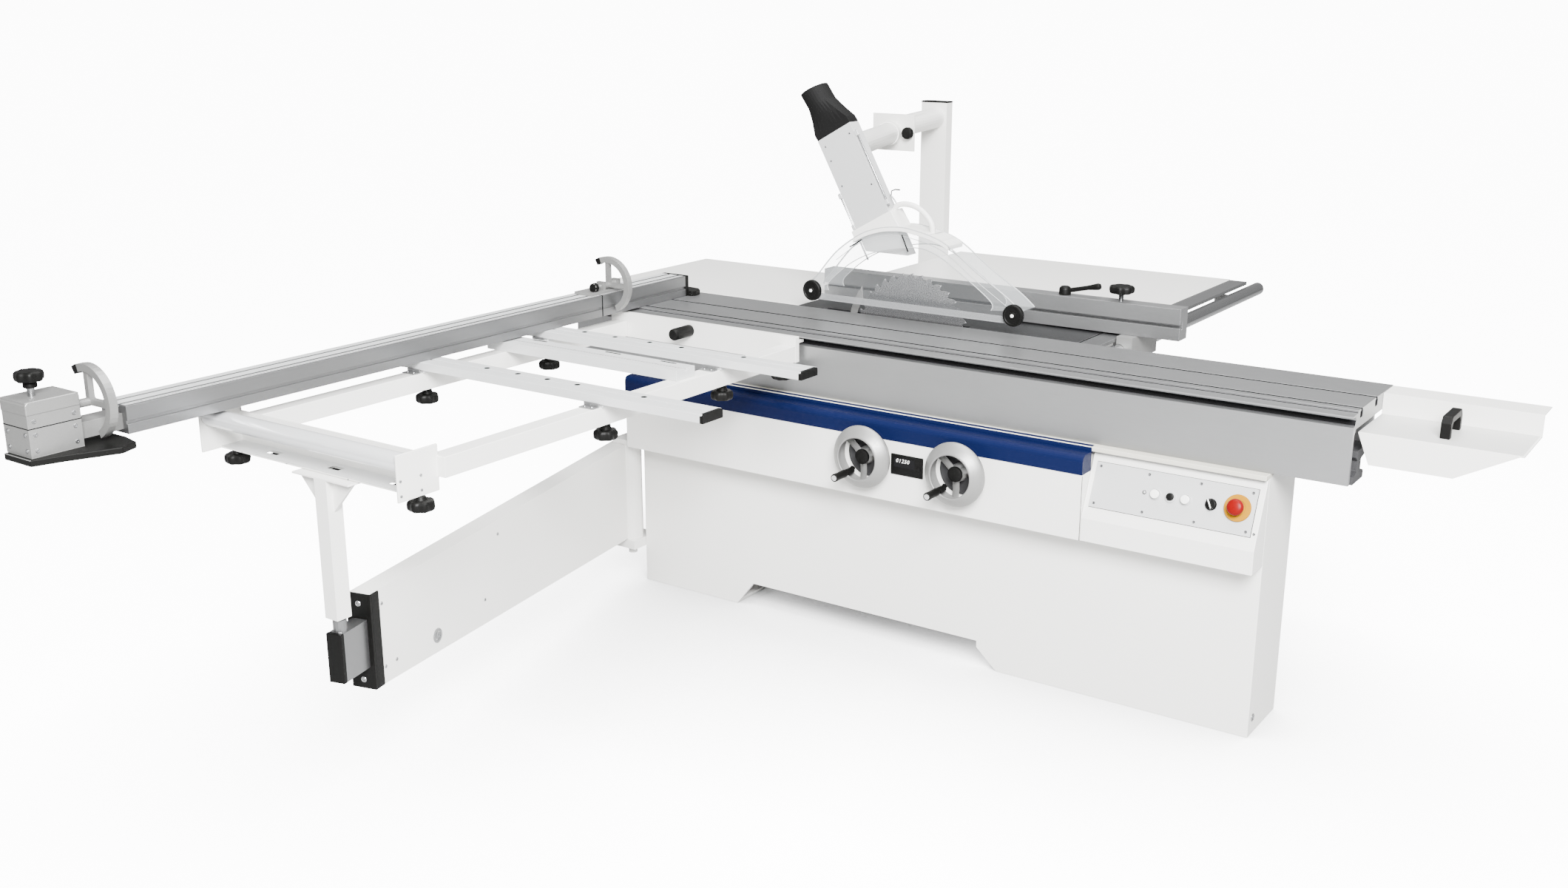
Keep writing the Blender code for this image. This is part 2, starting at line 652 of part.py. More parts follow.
def crosscut_fence(swivel):
    """Fence section with grooves, bored for its sliding extension."""
    low = FENCE_Z
    top = FENCE_TOP
    outline = [(FENCE_BACK, low), (FENCE_FACE, low), (FENCE_FACE, 0.940), (FENCE_FACE - 0.005, 0.940),
               (FENCE_FACE - 0.005, 0.948), (FENCE_FACE, 0.948), (FENCE_FACE, top),
               (-0.048, top), (-0.048, top - 0.005), (-0.056, top - 0.005), (-0.056, top),
               (-0.086, top), (-0.086, top - 0.005), (-0.094, top - 0.005), (-0.094, top),
               (FENCE_BACK, top)]
    fence = add("crosscut_fence", prism(outline, FENCE_END, 0.268, "Y"), ALUMINIUM, swivel, FENCE_PIVOT)
    cut(fence, block((-0.1005, FENCE_END - 0.01, 0.9255), (-0.0395, -1.28, 0.9645)))


def fence_extension(slide):
    """Sliding bar with the fence's end block and its foot."""
    bar = block((-0.100, -2.030, 0.926), (-0.040, -1.290, 0.964))
    piece = add("fence_extension", bar, ALUMINIUM, slide)
    join(piece, block((FENCE_BACK, -2.035, 0.9140), (FENCE_FACE, -1.910, 1.040)),
         block((-0.115, FENCE_OUTER, 0.9003), (-0.012, -1.812, 0.9150)))
    seat = (-0.070, -1.990, 1.040 + GAP)
    add("fence_end_knob", knob(0.032, 0.024, 0.008, 0.034, seat), BLACK, slide, seat)


def flip_stop(name, ring_y, hub_start, hub_end, parent):
    """Flip-over stop: an open D-shaped ring on two limbs, which turns on its hub."""
    low, high = math.radians(-64), math.radians(120)
    angles = [low + (high - low) * i / 24 for i in range(25)]
    outer = [(STOP_X + STOP_R * math.cos(a), STOP_Z + STOP_R * math.sin(a)) for a in angles]
    inner = [(STOP_X + STOP_BORE * math.cos(a), STOP_Z + STOP_BORE * math.sin(a)) for a in reversed(angles)]
    near, far = ring_y - 0.010, ring_y + 0.010
    stop = add(name, prism(outer + inner, near, far, "Y"), ALUMINIUM, parent, (STOP_X, ring_y, STOP_Z))
    reach = (STOP_R + STOP_BORE) / 2
    join(
        stop,
        block((STOP_X, near + 0.003, STOP_Z - 0.007), (STOP_X + reach, far - 0.003, STOP_Z + 0.007)),
        block((STOP_X - 0.007, near + 0.003, STOP_Z), (STOP_X + 0.007, far - 0.003, STOP_Z + reach)),
        rod((STOP_X, hub_start, STOP_Z), (STOP_X, hub_end, STOP_Z), 0.010),
    )


def stop_carrier(slide):
    """Clamp that carries the inner flip stop along the fence, with its locking knob."""
    plate = block((-0.105, -0.190, FENCE_TOP + GAP), (-0.034, -0.015, 0.9925))
    piece = add("stop_carrier", plate, CAST, slide)
    join(
        piece,
        block((STOP_X - 0.014, -0.132, 0.990), (STOP_X + 0.014, -0.120, 1.020)),
        block((STOP_X - 0.014, -0.060, 0.990), (STOP_X + 0.014, -0.050, 1.020)),
        rod((STOP_X, -0.150, STOP_Z), (STOP_X, -0.130, STOP_Z), 0.006),
        rod((STOP_X, -0.166, STOP_Z), (STOP_X, -0.149, STOP_Z), 0.014, 20),
    )


# ---------------------------------------------------------------- swing arm

def arm_matrix():
    """From the arm's own frame (outwards is -Y) to the machine."""
    return Matrix.Translation((*ARM_PIVOT, 0)) @ Matrix.Rotation(ARM_ANGLE, 4, "Z")


def arm_column():
    """Fixed pin and brackets on the end of the base that the swing arm turns on."""
    x, y = ARM_PIVOT
    column = add("arm_column", rod((x, y, 0.095), (x, y, 0.485), 0.014), STEEL, ROOT)
    join(column, block((-0.082, -0.058, 0.120), (-GAP, 0.060, 0.1495)),
         block((-0.082, -0.058, 0.476), (-GAP, 0.060, 0.492)))


def swing_arm(swivel):
    """Deep sheet arm with its hinge barrel, hollow at the outer end."""
    side = [(0.0, 0.150), (0.0, ARM_TOP), (-ARM_LENGTH, ARM_TOP), (-ARM_LENGTH, 0.224)]
    hinge = (*ARM_PIVOT, 0.30)
    arm = add("swing_arm", moved(prism(side, -0.061, -0.001), arm_matrix()), WHITE, swivel, hinge)
    join(arm, rod((*ARM_PIVOT, 0.150), (*ARM_PIVOT, ARM_TOP), 0.036, 24),)
    cut(arm, rod((*ARM_PIVOT, 0.10), (*ARM_PIVOT, 0.55), 0.0145, 16),
        moved(block((-0.0525, -1.50, 0.2825), (-0.0095, -0.89, 0.4095)), arm_matrix()))


def arm_slide(swivel):
    """Telescopic bar in the arm, with the pin that follows the leg."""
    bar = add("arm_slide", moved(block((-0.052, -1.555, 0.283), (-0.010, -0.900, 0.409)), arm_matrix()),
              ALUMINIUM, swivel)
    join(bar, moved(rod((-0.031, -1.528, 0.400), (-0.031, -1.528, 0.440), 0.017), arm_matrix()))


# ---------------------------------------------------------------- saw unit

def toothed_outline(centre, radius, teeth):
    """Outline of a blade whose teeth lean forward."""
    points = []
    for i in range(teeth):
        start = 2 * math.pi * i / teeth
        step = 2 * math.pi / teeth
        for share, reach in ((0.0, radius), (0.45, radius - 0.004), (0.75, radius - 0.011)):
            angle = start + share * step
            points.append((centre[0] + reach * math.cos(angle), centre[1] + reach * math.sin(angle)))
    return points


def saw_unit(tilt, rise):
    """Tilting frame, rising carrier with motor and riving knife, and the blade."""
    plate = block((0.615, 0.400, 0.500), (1.050, 0.415, 0.870))
    frame = add("tilt_frame", plate, CAST, tilt, (BLADE_X, BLADE_Y, TABLE_Z))
    cut(frame, block((BLADE_X - 0.042, 0.39, 0.670), (BLADE_X + 0.042, 0.43, 0.90)))
    near = 0.415 + GAP
    carrier = add("rise_carrier", block((0.560, near, 0.640), (0.980, 0.430, 0.830)), CAST, rise,
                  (BLADE_X, near, BLADE_Z))
    knife = arc((BLADE_X, BLADE_Z), 0.232, 142, 200, 8) + arc((BLADE_X, BLADE_Z), 0.207, 200, 150, 7)
    join(
        carrier,
        block((BLADE_X - 0.036, near, 0.80), (BLADE_X + 0.036, 0.430, 0.88)),
        rod((BLADE_X, 0.3625, BLADE_Z), (BLADE_X, near + 0.005, BLADE_Z), 0.030, 20),
        rod((0.885, 0.425, 0.695), (0.885, 0.620, 0.695), 0.072, 24),
        prism(knife, BLADE_Y - 0.0012, BLADE_Y + 0.0012, "Y"),
        block((0.562, BLADE_Y - 0.0012, 0.700), (0.590, near + 0.003, 0.800)),
    )
    teeth = toothed_outline((BLADE_X, BLADE_Z), BLADE_R, 36)
    half = BLADE_THICK / 2
    blade = add("saw_blade", prism(teeth, BLADE_Y - half, BLADE_Y + half, "Y"), STEEL, rise,
                (BLADE_X, BLADE_Y, BLADE_Z))
    join(blade, rod((BLADE_X, 0.3545, BLADE_Z), (BLADE_X, 0.3620, BLADE_Z), 0.030, 24))


# ---------------------------------------------------------------- handwheels

WHEEL_Z = 0.611
WHEEL_R = 0.0925
WHEEL_BACK = FASCIA_FRONT - GAP
WHEEL_DEPTH = 0.068      # from the wheel's back to the rim's front edge
GRIP_REACH = 0.060
GRIP_ANGLE = 127         # degrees from +X, turning downwards
SPOKE_ANGLES = (95, 215, 335)


def wheel_point(seat, reach, angle, depth):
    """Point on a handwheel at a distance from its axis, an angle and a depth in front of its back."""
    turn = math.radians(angle)
    return seat + Vector((reach * math.cos(turn), -depth, -reach * math.sin(turn)))


def handwheel(name, grip_name, x):
    """Dished handwheel with a cone-shaped rim, a hub and three spokes, and its crank grip."""
    seat = Vector((x, WHEEL_BACK, WHEEL_Z))
    rim = [(0.072, 0.012), (0.080, 0.012), (WHEEL_R, 0.036), (WHEEL_R, 0.042), (0.088, 0.049),
           (0.066, WHEEL_DEPTH - 0.001), (0.061, WHEEL_DEPTH - 0.001), (0.060, 0.062),
           (0.080, 0.042), (0.081, 0.034)]
    wheel = add(name, turned_ring(rim, 40, (0, -1, 0), seat), CAST, ROOT, seat)
    hub = [(0.022, 0), (0.022, 0.030), (0.018, 0.034)]
    join(wheel, turned(hub, 24, (0, -1, 0), seat))
    for angle in SPOKE_ANGLES:
        spoke = block((0.010, -0.021, -0.010), (0.076, -0.013, 0.010))
        turn = Matrix.Translation(seat) @ Matrix.Rotation(math.radians(angle), 4, "Y")
        join(wheel, moved(spoke, turn))
    root = wheel_point(seat, GRIP_REACH, GRIP_ANGLE, 0.034)
    tip = wheel_point(seat, GRIP_REACH, GRIP_ANGLE, WHEEL_DEPTH)
    join(wheel, rod(root, tip, 0.0095))
    tip += Vector((0, -GAP, 0))
    grip = [(0.007, 0), (0.0115, 0.004), (0.0115, 0.054), (0.0095, 0.058)]
    add(grip_name, turned(grip, 16, (0, -1, 0), tip), BLACK, ROOT, tip)


# ---------------------------------------------------------------- rip fence

def rip_fence(slide):
    """Rip fence section, its body on the guide bar, the lever and the knob."""
    low = 0.921
    top = 1.014
    back = RIP_FACE + 0.058
    outline = [(RIP_FACE, low), (RIP_FACE, 0.958), (RIP_FACE + 0.014, 0.958), (RIP_FACE + 0.014, 0.952),
               (RIP_FACE + 0.020, 0.952), (RIP_FACE + 0.020, 0.974), (RIP_FACE + 0.014, 0.974),
               (RIP_FACE + 0.014, 0.968), (RIP_FACE, 0.968), (RIP_FACE, top), (back, top), (back, low)]
    add("rip_fence", prism(outline, RIP_LEFT, RIP_RIGHT), ALUMINIUM, slide)
    body = add("rip_body", block((1.150, back + GAP, 0.918), (1.468, 0.655, 0.985)), CAST, slide)
    join(body, block((1.4185, 0.470, 0.848), (1.468, 0.660, 0.9205)))
    cut(body, rod((BAR_X, 0.40, BAR_Z), (BAR_X, 0.72, BAR_Z), BAR_R + 0.0006, 24))
    seat = (1.220, 0.531, top + GAP)
    lever = add("rip_lever", turned([(0.018, 0), (0.018, 0.018), (0.014, 0.026)], 20, (0, 0, 1), seat),
                BLACK, slide, seat)
    join(lever, rod((1.220, 0.531, 1.030), (1.325, 0.531, 1.048), 0.006, 12),
         turned([(0.004, -0.010), (0.010, -0.005), (0.010, 0.005), (0.004, 0.010)], 16, (1, 0, 0),
                (1.326, 0.531, 1.048)))
    seat = (1.400, 0.531, top + GAP)
    add("rip_knob", knob(0.038, 0.024, 0.007, 0.022, seat), BLACK, slide, seat)


# ---------------------------------------------------------------- guard

DUCT_TOP = Vector((0.5125, GUARD_Y, 1.4755))
DUCT_HALF = 0.0665
DUCT_DEPTH = 0.025
DUCT_LOW = 1.117


def duct_matrix():
    """From the duct's own frame (up the duct is +Z) to the machine."""
    return Matrix.Translation(DUCT_TOP) @ Matrix.Rotation(-DUCT_LEAN, 4, "Y")


def guard_arm(slide):
    """Lower tube of the guard's arm, the grey duct and the hose adapter."""
    length = (ARM_END - ARM_START).length
    inner = GUARD_TUBE_R - 0.003
    section = [(inner, 0.020), (GUARD_TUBE_R, 0.020), (GUARD_TUBE_R, length + 0.05), (inner, length + 0.05)]
    tube = carve(turned_ring(section, 24, GUARD_ARM_AXIS, ARM_START),
                 block((0.2, 0.20, 1.2), (0.9, GUARD_Y + DUCT_DEPTH + GAP, 1.6)))
    add("guard_arm", tube, WHITE, slide)
    duct = block((-DUCT_HALF, -DUCT_DEPTH, -0.50), (DUCT_HALF, DUCT_DEPTH, 0))
    half, depth = DUCT_HALF - 0.003, DUCT_DEPTH - 0.003
    bore = moved(block((-half, -depth, -0.55), (half, depth, 0.05)), duct_matrix())
    duct = carve(moved(duct, duct_matrix()), bore, block((0.4, 0.2, 0.9), (1.0, 0.5, DUCT_LOW)))
    add("guard_duct", duct, PLATE, slide)
    add("hose_adapter", moved(adapter(), duct_matrix()), RUBBER, slide)


def adapter():
    """Rubber transition from the duct's oblong mouth to a round hose end."""
    wall = 0.003
    steps = ((0.0, 0.0, 0.0), (0.020, 0.0, -0.002), (0.060, 0.55, -0.006),
             (0.100, 1.0, -0.012), (0.150, 1.0, -0.018))
    count = 32
    bm = bmesh.new()
    rings = []
    for inset, order in ((0.0, steps), (wall, steps[::-1])):
        for height, roundness, shift in order:
            ring = []
            for i in range(count):
                angle = 2 * math.pi * i / count
                c, s = math.cos(angle), math.sin(angle)
                reach = 1 / max(abs(c), abs(s))
                square = ((DUCT_HALF - inset) * c * reach, (DUCT_DEPTH - inset) * s * reach)
                circle = ((0.0455 - inset) * c, (0.0455 - inset) * s)
                x = square[0] + (circle[0] - square[0]) * roundness + shift
                y = square[1] + (circle[1] - square[1]) * roundness
                ring.append(bm.verts.new((x, y, height + GAP)))
            rings.append(ring)
    for lower, upper in zip(rings, rings[1:] + rings[:1]):
        bridge(bm, lower, upper)
    return bm


HOOD = [(0.432, 0.985), (0.445, 1.005), (0.470, 1.030), (0.540, 1.110), (0.618, 1.166), (0.680, 1.192),
        (0.742, 1.204), (0.807, 1.202), (0.917, 1.172), (1.031, 1.095), (1.136, 1.029), (1.185, 0.992)]
HOOD_INNER = [(0.512, 0.90), (0.512, 1.012), (0.594, 1.079), (0.686, 1.122), (0.816, 1.147), (0.893, 1.134),
              (0.982, 1.083), (1.083, 1.012), (1.083, 0.90)]


def guard_hood(lift):
    """Clear hood over the blade, its white crown with a handle, and two wheels."""
    near = GUARD_Y - GUARD_HALF
    far = GUARD_Y + GUARD_HALF
    wall = 0.004
    outline = HOOD + [(1.180, 0.952), (0.440, 0.952)]
    inside = [(x + (0.808 - x) * 0.014, z - wall) for x, z in HOOD]
    inside = inside + [(inside[-1][0], 0.90), (inside[0][0], 0.90)]
    hood = add("clear_guard", prism(outline, near, far, "Y"), CLEAR, lift)
    opening = block((-0.0806, -0.0366, -0.42), (0.0806, 0.0366, -0.20))
    cut(
        hood,
        prism(inside, near + wall, far - wall, "Y"),
        prism(HOOD_INNER, far - wall - 0.001, far + 0.01, "Y"),
        moved(opening, duct_matrix()),
    )
    crown = carve(
        moved(block((-0.080, -0.036, -0.385), (0.080, 0.036, -0.300)), duct_matrix()),
        moved(block((-0.0685, -0.027, -0.42), (0.0685, 0.027, -0.25)), duct_matrix()),
    )
    crown = add("guard_crown", crown, WHITE, lift)
    start = duct_matrix() @ Vector((0.0745, 0, -0.312))
    y = GUARD_Y
    bow = [start, (0.760, y, 1.268), (0.795, y, 1.270), (0.825, y, 1.258), (0.845, y, 1.236),
           (0.856, y, 1.212), (0.858, y, 1.200)]
    join(crown, swept_tube(bow, 0.008))
    for name, x in (("guard_wheel_left", WHEEL_LEFT_X), ("guard_wheel_right", WHEEL_RIGHT_X)):
        seat = (x, near - GAP, GUARD_WHEEL_Z)
        tread = [(0.010, 0), (0.010, 0.003), (0.033, 0.003), (0.033, 0.017), (0.028, 0.020)]
        add(name, turned(tread, 28, (0, -1, 0), seat), BLACK, lift, seat)


clear_scene()
ROOT = pivot("machine", (0, 0, 0))
base_frame()
front_fascia()
blue_band()
control_box()
slideway()
cabinet()
tables()
table_frame()
rip_rails()
arm_column()
guard_post()

CARRIAGE_SLIDE = pivot("carriage_slide", (CARRIAGE_LEFT, 0.170, 0.800), ROOT)
carriage(CARRIAGE_SLIDE)
end_tray(CARRIAGE_SLIDE)
crosscut_frame(CARRIAGE_SLIDE)
frame_bars(CARRIAGE_SLIDE)
bar_knobs(CARRIAGE_SLIDE)
roller(CARRIAGE_SLIDE)
support_leg(CARRIAGE_SLIDE)

FENCE_SWIVEL = pivot("fence_swivel", FENCE_PIVOT, CARRIAGE_SLIDE)
crosscut_fence(FENCE_SWIVEL)
EXTENSION_SLIDE = pivot("extension_slide", (-0.070, FENCE_END, 0.945), FENCE_SWIVEL)
fence_extension(EXTENSION_SLIDE)
flip_stop("outer_flip_stop", -1.865, -1.910 + GAP, -1.856, EXTENSION_SLIDE)
STOP_SLIDE = pivot("stop_slide", (-0.070, -0.095, 0.990), FENCE_SWIVEL)
stop_carrier(STOP_SLIDE)
flip_stop("inner_flip_stop", -0.090, -0.120 + GAP, -0.060 - GAP, STOP_SLIDE)

ARM_SWIVEL = pivot("arm_swivel", (*ARM_PIVOT, 0.30), ROOT)
swing_arm(ARM_SWIVEL)
arm_slide(ARM_SWIVEL)

BLADE_TILT = pivot("blade_tilt", (BLADE_X, BLADE_Y, TABLE_Z), ROOT)
BLADE_RISE = pivot("blade_rise", (BLADE_X, BLADE_Y, BLADE_Z), BLADE_TILT)
saw_unit(BLADE_TILT, BLADE_RISE)
handwheel("rise_handwheel", "rise_grip", 0.913)
handwheel("tilt_handwheel", "tilt_grip", 1.215)

RIP_SLIDE = pivot("rip_slide", (BAR_X, 0.531, BAR_Z), ROOT)
rip_fence(RIP_SLIDE)

GUARD_SLIDE = pivot("guard_arm_slide", ARM_START, ROOT)
guard_arm(GUARD_SLIDE)
GUARD_LIFT = pivot("guard_lift", DUCT_TOP, GUARD_SLIDE)
guard_hood(GUARD_LIFT)
bpy.context.view_layer.update()
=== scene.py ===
"""Looks of the sliding-table panel saw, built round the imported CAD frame.

Points are written in machine coordinates: from the left end of the base along
+X, from the base's front face towards the rip side along +Y, and from the
floor along +Z.  ORIGIN moves them into the frame's own coordinates.
"""

import math

import bmesh
import bpy
from mathutils import Matrix, Vector


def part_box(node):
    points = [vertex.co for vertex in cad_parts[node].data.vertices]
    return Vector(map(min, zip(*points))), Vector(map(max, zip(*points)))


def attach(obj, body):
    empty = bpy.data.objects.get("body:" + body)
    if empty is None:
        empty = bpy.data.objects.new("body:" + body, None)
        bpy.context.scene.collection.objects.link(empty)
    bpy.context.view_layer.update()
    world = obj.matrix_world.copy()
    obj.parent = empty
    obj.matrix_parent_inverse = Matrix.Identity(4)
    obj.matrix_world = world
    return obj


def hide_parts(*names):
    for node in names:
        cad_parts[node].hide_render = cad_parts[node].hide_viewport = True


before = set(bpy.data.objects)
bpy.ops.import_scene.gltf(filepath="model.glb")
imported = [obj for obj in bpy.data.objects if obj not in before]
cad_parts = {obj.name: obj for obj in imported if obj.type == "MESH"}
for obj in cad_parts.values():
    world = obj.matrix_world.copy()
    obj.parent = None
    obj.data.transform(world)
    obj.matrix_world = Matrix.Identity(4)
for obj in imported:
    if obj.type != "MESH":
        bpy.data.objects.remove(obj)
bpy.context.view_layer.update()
RIM_LIP = -0.03             # front edge of the base's rim strip, the base's lowest Y
ORIGIN = Vector(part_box("base_frame")[0]) - Vector((0.0, RIM_LIP, 0.0))
CARRIAGE = "carriage_body"

# -------- camera, floor, lights

CAMERA_PLACE = Vector((3.2015, -3.8013, 1.9))
CAMERA_ANGLE = (math.radians(90.0 - 16.12), 0.0, math.radians(34.81))
LENS = 36.2
SENSOR = 36.0
VIEW_END = 100.0
LIGHT_TARGET = Vector((0.0, 0.0, 0.6))
LIGHTS = {                  # place, side of the square, power
    "key": ((3.4, -4.4, 4.4), 2.6, 2700.0),
    "top": ((0.4, 0.6, 5.6), 4.0, 620.0),
    "fill": ((-5.2, -3.2, 2.2), 3.0, 20.0),
}
SKY_LIGHT = 0.5             # strength of the surroundings as a light
SKY_SEEN = 12.0             # and as the white backdrop behind the machine


def placed(name, data):
    """Object in the scene's collection."""
    obj = bpy.data.objects.new(name, data)
    bpy.context.scene.collection.objects.link(obj)
    return obj


def build_camera():
    """Camera at the machine's front right, a little above the guard."""
    data = bpy.data.cameras.new("camera")
    data.lens = LENS
    data.sensor_width = SENSOR
    data.sensor_fit = "HORIZONTAL"
    data.clip_end = VIEW_END
    camera = placed("camera", data)
    camera.location = CAMERA_PLACE + ORIGIN
    camera.rotation_euler = CAMERA_ANGLE
    bpy.context.scene.camera = camera


def area_light(name, place, size, power):
    """Soft square light that faces the machine's middle."""
    data = bpy.data.lights.new(name, "AREA")
    data.shape = "SQUARE"
    data.size = size
    data.energy = power
    light = placed(name, data)
    light.location = Vector(place)
    light.rotation_euler = (LIGHT_TARGET - Vector(place)).to_track_quat("-Z", "Y").to_euler()


def build_lights():
    """White surroundings with a soft key, a fill and a top light."""
    world = bpy.data.worlds.new("studio")
    world.use_nodes = True
    tree = world.node_tree
    background = tree.nodes["Background"]
    background.inputs["Color"].default_value = (1.0, 1.0, 1.0, 1.0)
    seen = tree.nodes.new("ShaderNodeLightPath").outputs["Is Camera Ray"]
    strength = tree.nodes.new("ShaderNodeMapRange")
    strength.inputs["To Min"].default_value = SKY_LIGHT
    strength.inputs["To Max"].default_value = SKY_SEEN
    tree.links.new(seen, strength.inputs["Value"])
    tree.links.new(strength.outputs["Result"], background.inputs["Strength"])
    bpy.context.scene.world = world
    for name, (place, size, power) in LIGHTS.items():
        area_light(name, place, size, power)


# -------- materials

MATERIALS = {}
NOISE_LOW = 0.3             # nearly all of a noise texture's values lie between these
NOISE_HIGH = 0.7
BROAD_SCALE = 3.0           # scale of the slow colour drift
ROUGH_SWING = 0.12          # share by which roughness swings with the grain


def noise(tree, vector, scale, detail=3.0):
    """Noise texture on a coordinate."""
    node = tree.nodes.new("ShaderNodeTexNoise")
    node.inputs["Scale"].default_value = scale
    node.inputs["Detail"].default_value = detail
    tree.links.new(vector, node.inputs["Vector"])
    return node.outputs["Fac"]


def ranged(tree, value, low, high):
    """Map a noise value to low..high."""
    node = tree.nodes.new("ShaderNodeMapRange")
    node.inputs["From Min"].default_value = NOISE_LOW
    node.inputs["From Max"].default_value = NOISE_HIGH
    node.inputs["To Min"].default_value = low
    node.inputs["To Max"].default_value = high
    tree.links.new(value, node.inputs["Value"])
    return node.outputs["Result"]


def calculated(tree, operation, *values):
    """Math node on numbers and other nodes' outputs."""
    node = tree.nodes.new("ShaderNodeMath")
    node.operation = operation
    for socket, value in zip(node.inputs, values):
        if isinstance(value, float):
            socket.default_value = value
        else:
            tree.links.new(value, socket)
    return node.outputs[0]


def tinted(tree, value, colour, spread):
    """Colour that swings a little darker and lighter with a value."""
    ramp = tree.nodes.new("ShaderNodeValToRGB")
    dark, light = ramp.color_ramp.elements
    dark.position, light.position = NOISE_LOW, NOISE_HIGH
    dark.color = (*[c * (1.0 - spread) for c in colour], 1.0)
    light.color = (*[min(1.0, c * (1.0 + spread)) for c in colour], 1.0)
    tree.links.new(value, ramp.inputs["Fac"])
    return ramp.outputs["Color"]


def make_material(name, colour, rough, metal, grain, scale, spread, bump, extra=None, depth=0.0002):
    """Procedural finish: large soft colour drift, fine grain in roughness and in relief.

    grain stretches the fine noise, so a small number along an axis draws brushed
    or ground lines along that axis.
    """
    mat = bpy.data.materials.new(name)
    mat.use_nodes = True
    tree = mat.node_tree
    shader = tree.nodes["Principled BSDF"]
    coordinates = tree.nodes.new("ShaderNodeTexCoord").outputs["Object"]
    mapping = tree.nodes.new("ShaderNodeMapping")
    mapping.inputs["Scale"].default_value = grain
    tree.links.new(coordinates, mapping.inputs["Vector"])
    fine = noise(tree, mapping.outputs["Vector"], scale)
    broad = noise(tree, coordinates, BROAD_SCALE, 2.0)
    blend = calculated(tree, "MULTIPLY_ADD", fine, 0.5, calculated(tree, "MULTIPLY", broad, 0.5))
    tree.links.new(tinted(tree, blend, colour, spread), shader.inputs["Base Color"])
    low, high = rough * (1.0 - ROUGH_SWING), min(1.0, rough * (1.0 + ROUGH_SWING))
    tree.links.new(ranged(tree, fine, low, high), shader.inputs["Roughness"])
    relief = tree.nodes.new("ShaderNodeBump")
    relief.inputs["Strength"].default_value = bump
    relief.inputs["Distance"].default_value = depth
    tree.links.new(fine, relief.inputs["Height"])
    tree.links.new(relief.outputs["Normal"], shader.inputs["Normal"])
    shader.inputs["Metallic"].default_value = metal
    for key, value in (extra or {}).items():
        shader.inputs[key].default_value = value
    MATERIALS[name] = mat


ALONG_X = (0.02, 1.0, 1.0)
ALONG_Y = (1.0, 0.02, 1.0)
EVEN = (1.0, 1.0, 1.0)


MATT = {"Specular IOR Level": 0.1}
DEAD = {"Specular IOR Level": 0.0}
COAT = {"Coat Weight": 0.25, "Coat Roughness": 0.25}
GLOSS = {"Coat Weight": 0.6, "Coat Roughness": 0.08}
FINISHES = {                # colour, roughness, metal, grain, scale, spread, bump, extra
    "white": ((0.7, 0.695, 0.672), 0.42, 0.0, EVEN, 420.0, 0.012, 0.1, COAT),
    "cream": ((0.5, 0.485, 0.42), 0.45, 0.0, EVEN, 420.0, 0.015, 0.08),
    # painted shade: a darker copy of the white paint for the tray's shaded floor
    "tray_shade_white": ((0.46, 0.46, 0.445), 0.5, 0.0, EVEN, 420.0, 0.015, 0.08),
    "blue": ((0.0012, 0.0036, 0.027), 0.5, 0.0, EVEN, 420.0, 0.04, 0.1, MATT),
    "aluminium_x": ((0.305, 0.308, 0.311), 0.38, 0.88, ALONG_X, 900.0, 0.05, 0.1),
    "aluminium_y": ((0.2, 0.202, 0.205), 0.36, 0.9, ALONG_Y, 900.0, 0.05, 0.1),
    "bar": ((0.62, 0.63, 0.63), 0.42, 0.35, ALONG_X, 700.0, 0.03, 0.06),
    "iron": ((0.055, 0.056, 0.058), 0.38, 0.85, ALONG_X, 800.0, 0.07, 0.12),
    "dark_iron": ((0.04, 0.04, 0.042), 0.55, 0.5, EVEN, 300.0, 0.12, 0.1),
    "steel": ((0.34, 0.345, 0.35), 0.28, 1.0, EVEN, 500.0, 0.05, 0.06),
    "chrome": ((0.72, 0.73, 0.74), 0.14, 0.9, EVEN, 500.0, 0.02, 0.02),
    "roller": ((0.74, 0.75, 0.76), 0.16, 0.45, EVEN, 500.0, 0.02, 0.02),
    "cast": ((0.24, 0.24, 0.235), 0.46, 0.6, EVEN, 260.0, 0.06, 0.22),
    "black": ((0.003, 0.003, 0.0028), 0.46, 0.0, EVEN, 500.0, 0.25, 0.15, MATT),
    "rubber": ((0.004, 0.004, 0.004), 0.72, 0.0, EVEN, 500.0, 0.25, 0.2, MATT),
    "plate": ((0.5, 0.505, 0.505), 0.38, 0.25, ALONG_X, 700.0, 0.03, 0.06),
    "red": ((0.13, 0.0006, 0.0006), 0.38, 0.0, EVEN, 300.0, 0.06, 0.04, MATT),
    "yellow": ((0.3, 0.135, 0.0003), 0.42, 0.0, EVEN, 300.0, 0.04, 0.04, MATT),
    "ivory": ((0.8, 0.8, 0.77), 0.3, 0.0, EVEN, 300.0, 0.02, 0.04, GLOSS),
    # near black: painted shade in slots, holes and gaps, and the colour of seams, printed marks and
    # the counter's window
    "groove": ((0.008, 0.008, 0.0085), 0.7, 0.0, EVEN, 300.0, 0.15, 0.08, DEAD),
    "digit": ((0.82, 0.82, 0.8), 0.5, 0.0, EVEN, 300.0, 0.03, 0.03),
    "blade_steel": ((0.3, 0.3, 0.305), 0.26, 0.9, EVEN, 500.0, 0.05, 0.06),
    "clear": ((0.62, 0.65, 0.66), 0.06, 0.0, EVEN, 120.0, 0.02, 0.03, {"Alpha": 0.11}),
    "clear_skirt": ((0.2, 0.21, 0.22), 0.1, 0.0, EVEN, 120.0, 0.02, 0.03, {"Alpha": 0.06}),
    "clear_strip": ((0.22, 0.225, 0.23), 0.18, 0.0, EVEN, 120.0, 0.02, 0.03, {"Alpha": 0.62}),
    "clear_edge": ((0.4, 0.41, 0.41), 0.2, 0.0, EVEN, 120.0, 0.02, 0.03, {"Alpha": 0.8}),
}


# -------- mesh tools

UP, DOWN = (0, 0, 1), (0, 0, -1)
RIGHT, BACK, OUTWARD = (1, 0, 0), (0, 1, 0), (0, -1, 0)
SHARP_EDGE = 30.0           # edges sharper than this are rounded


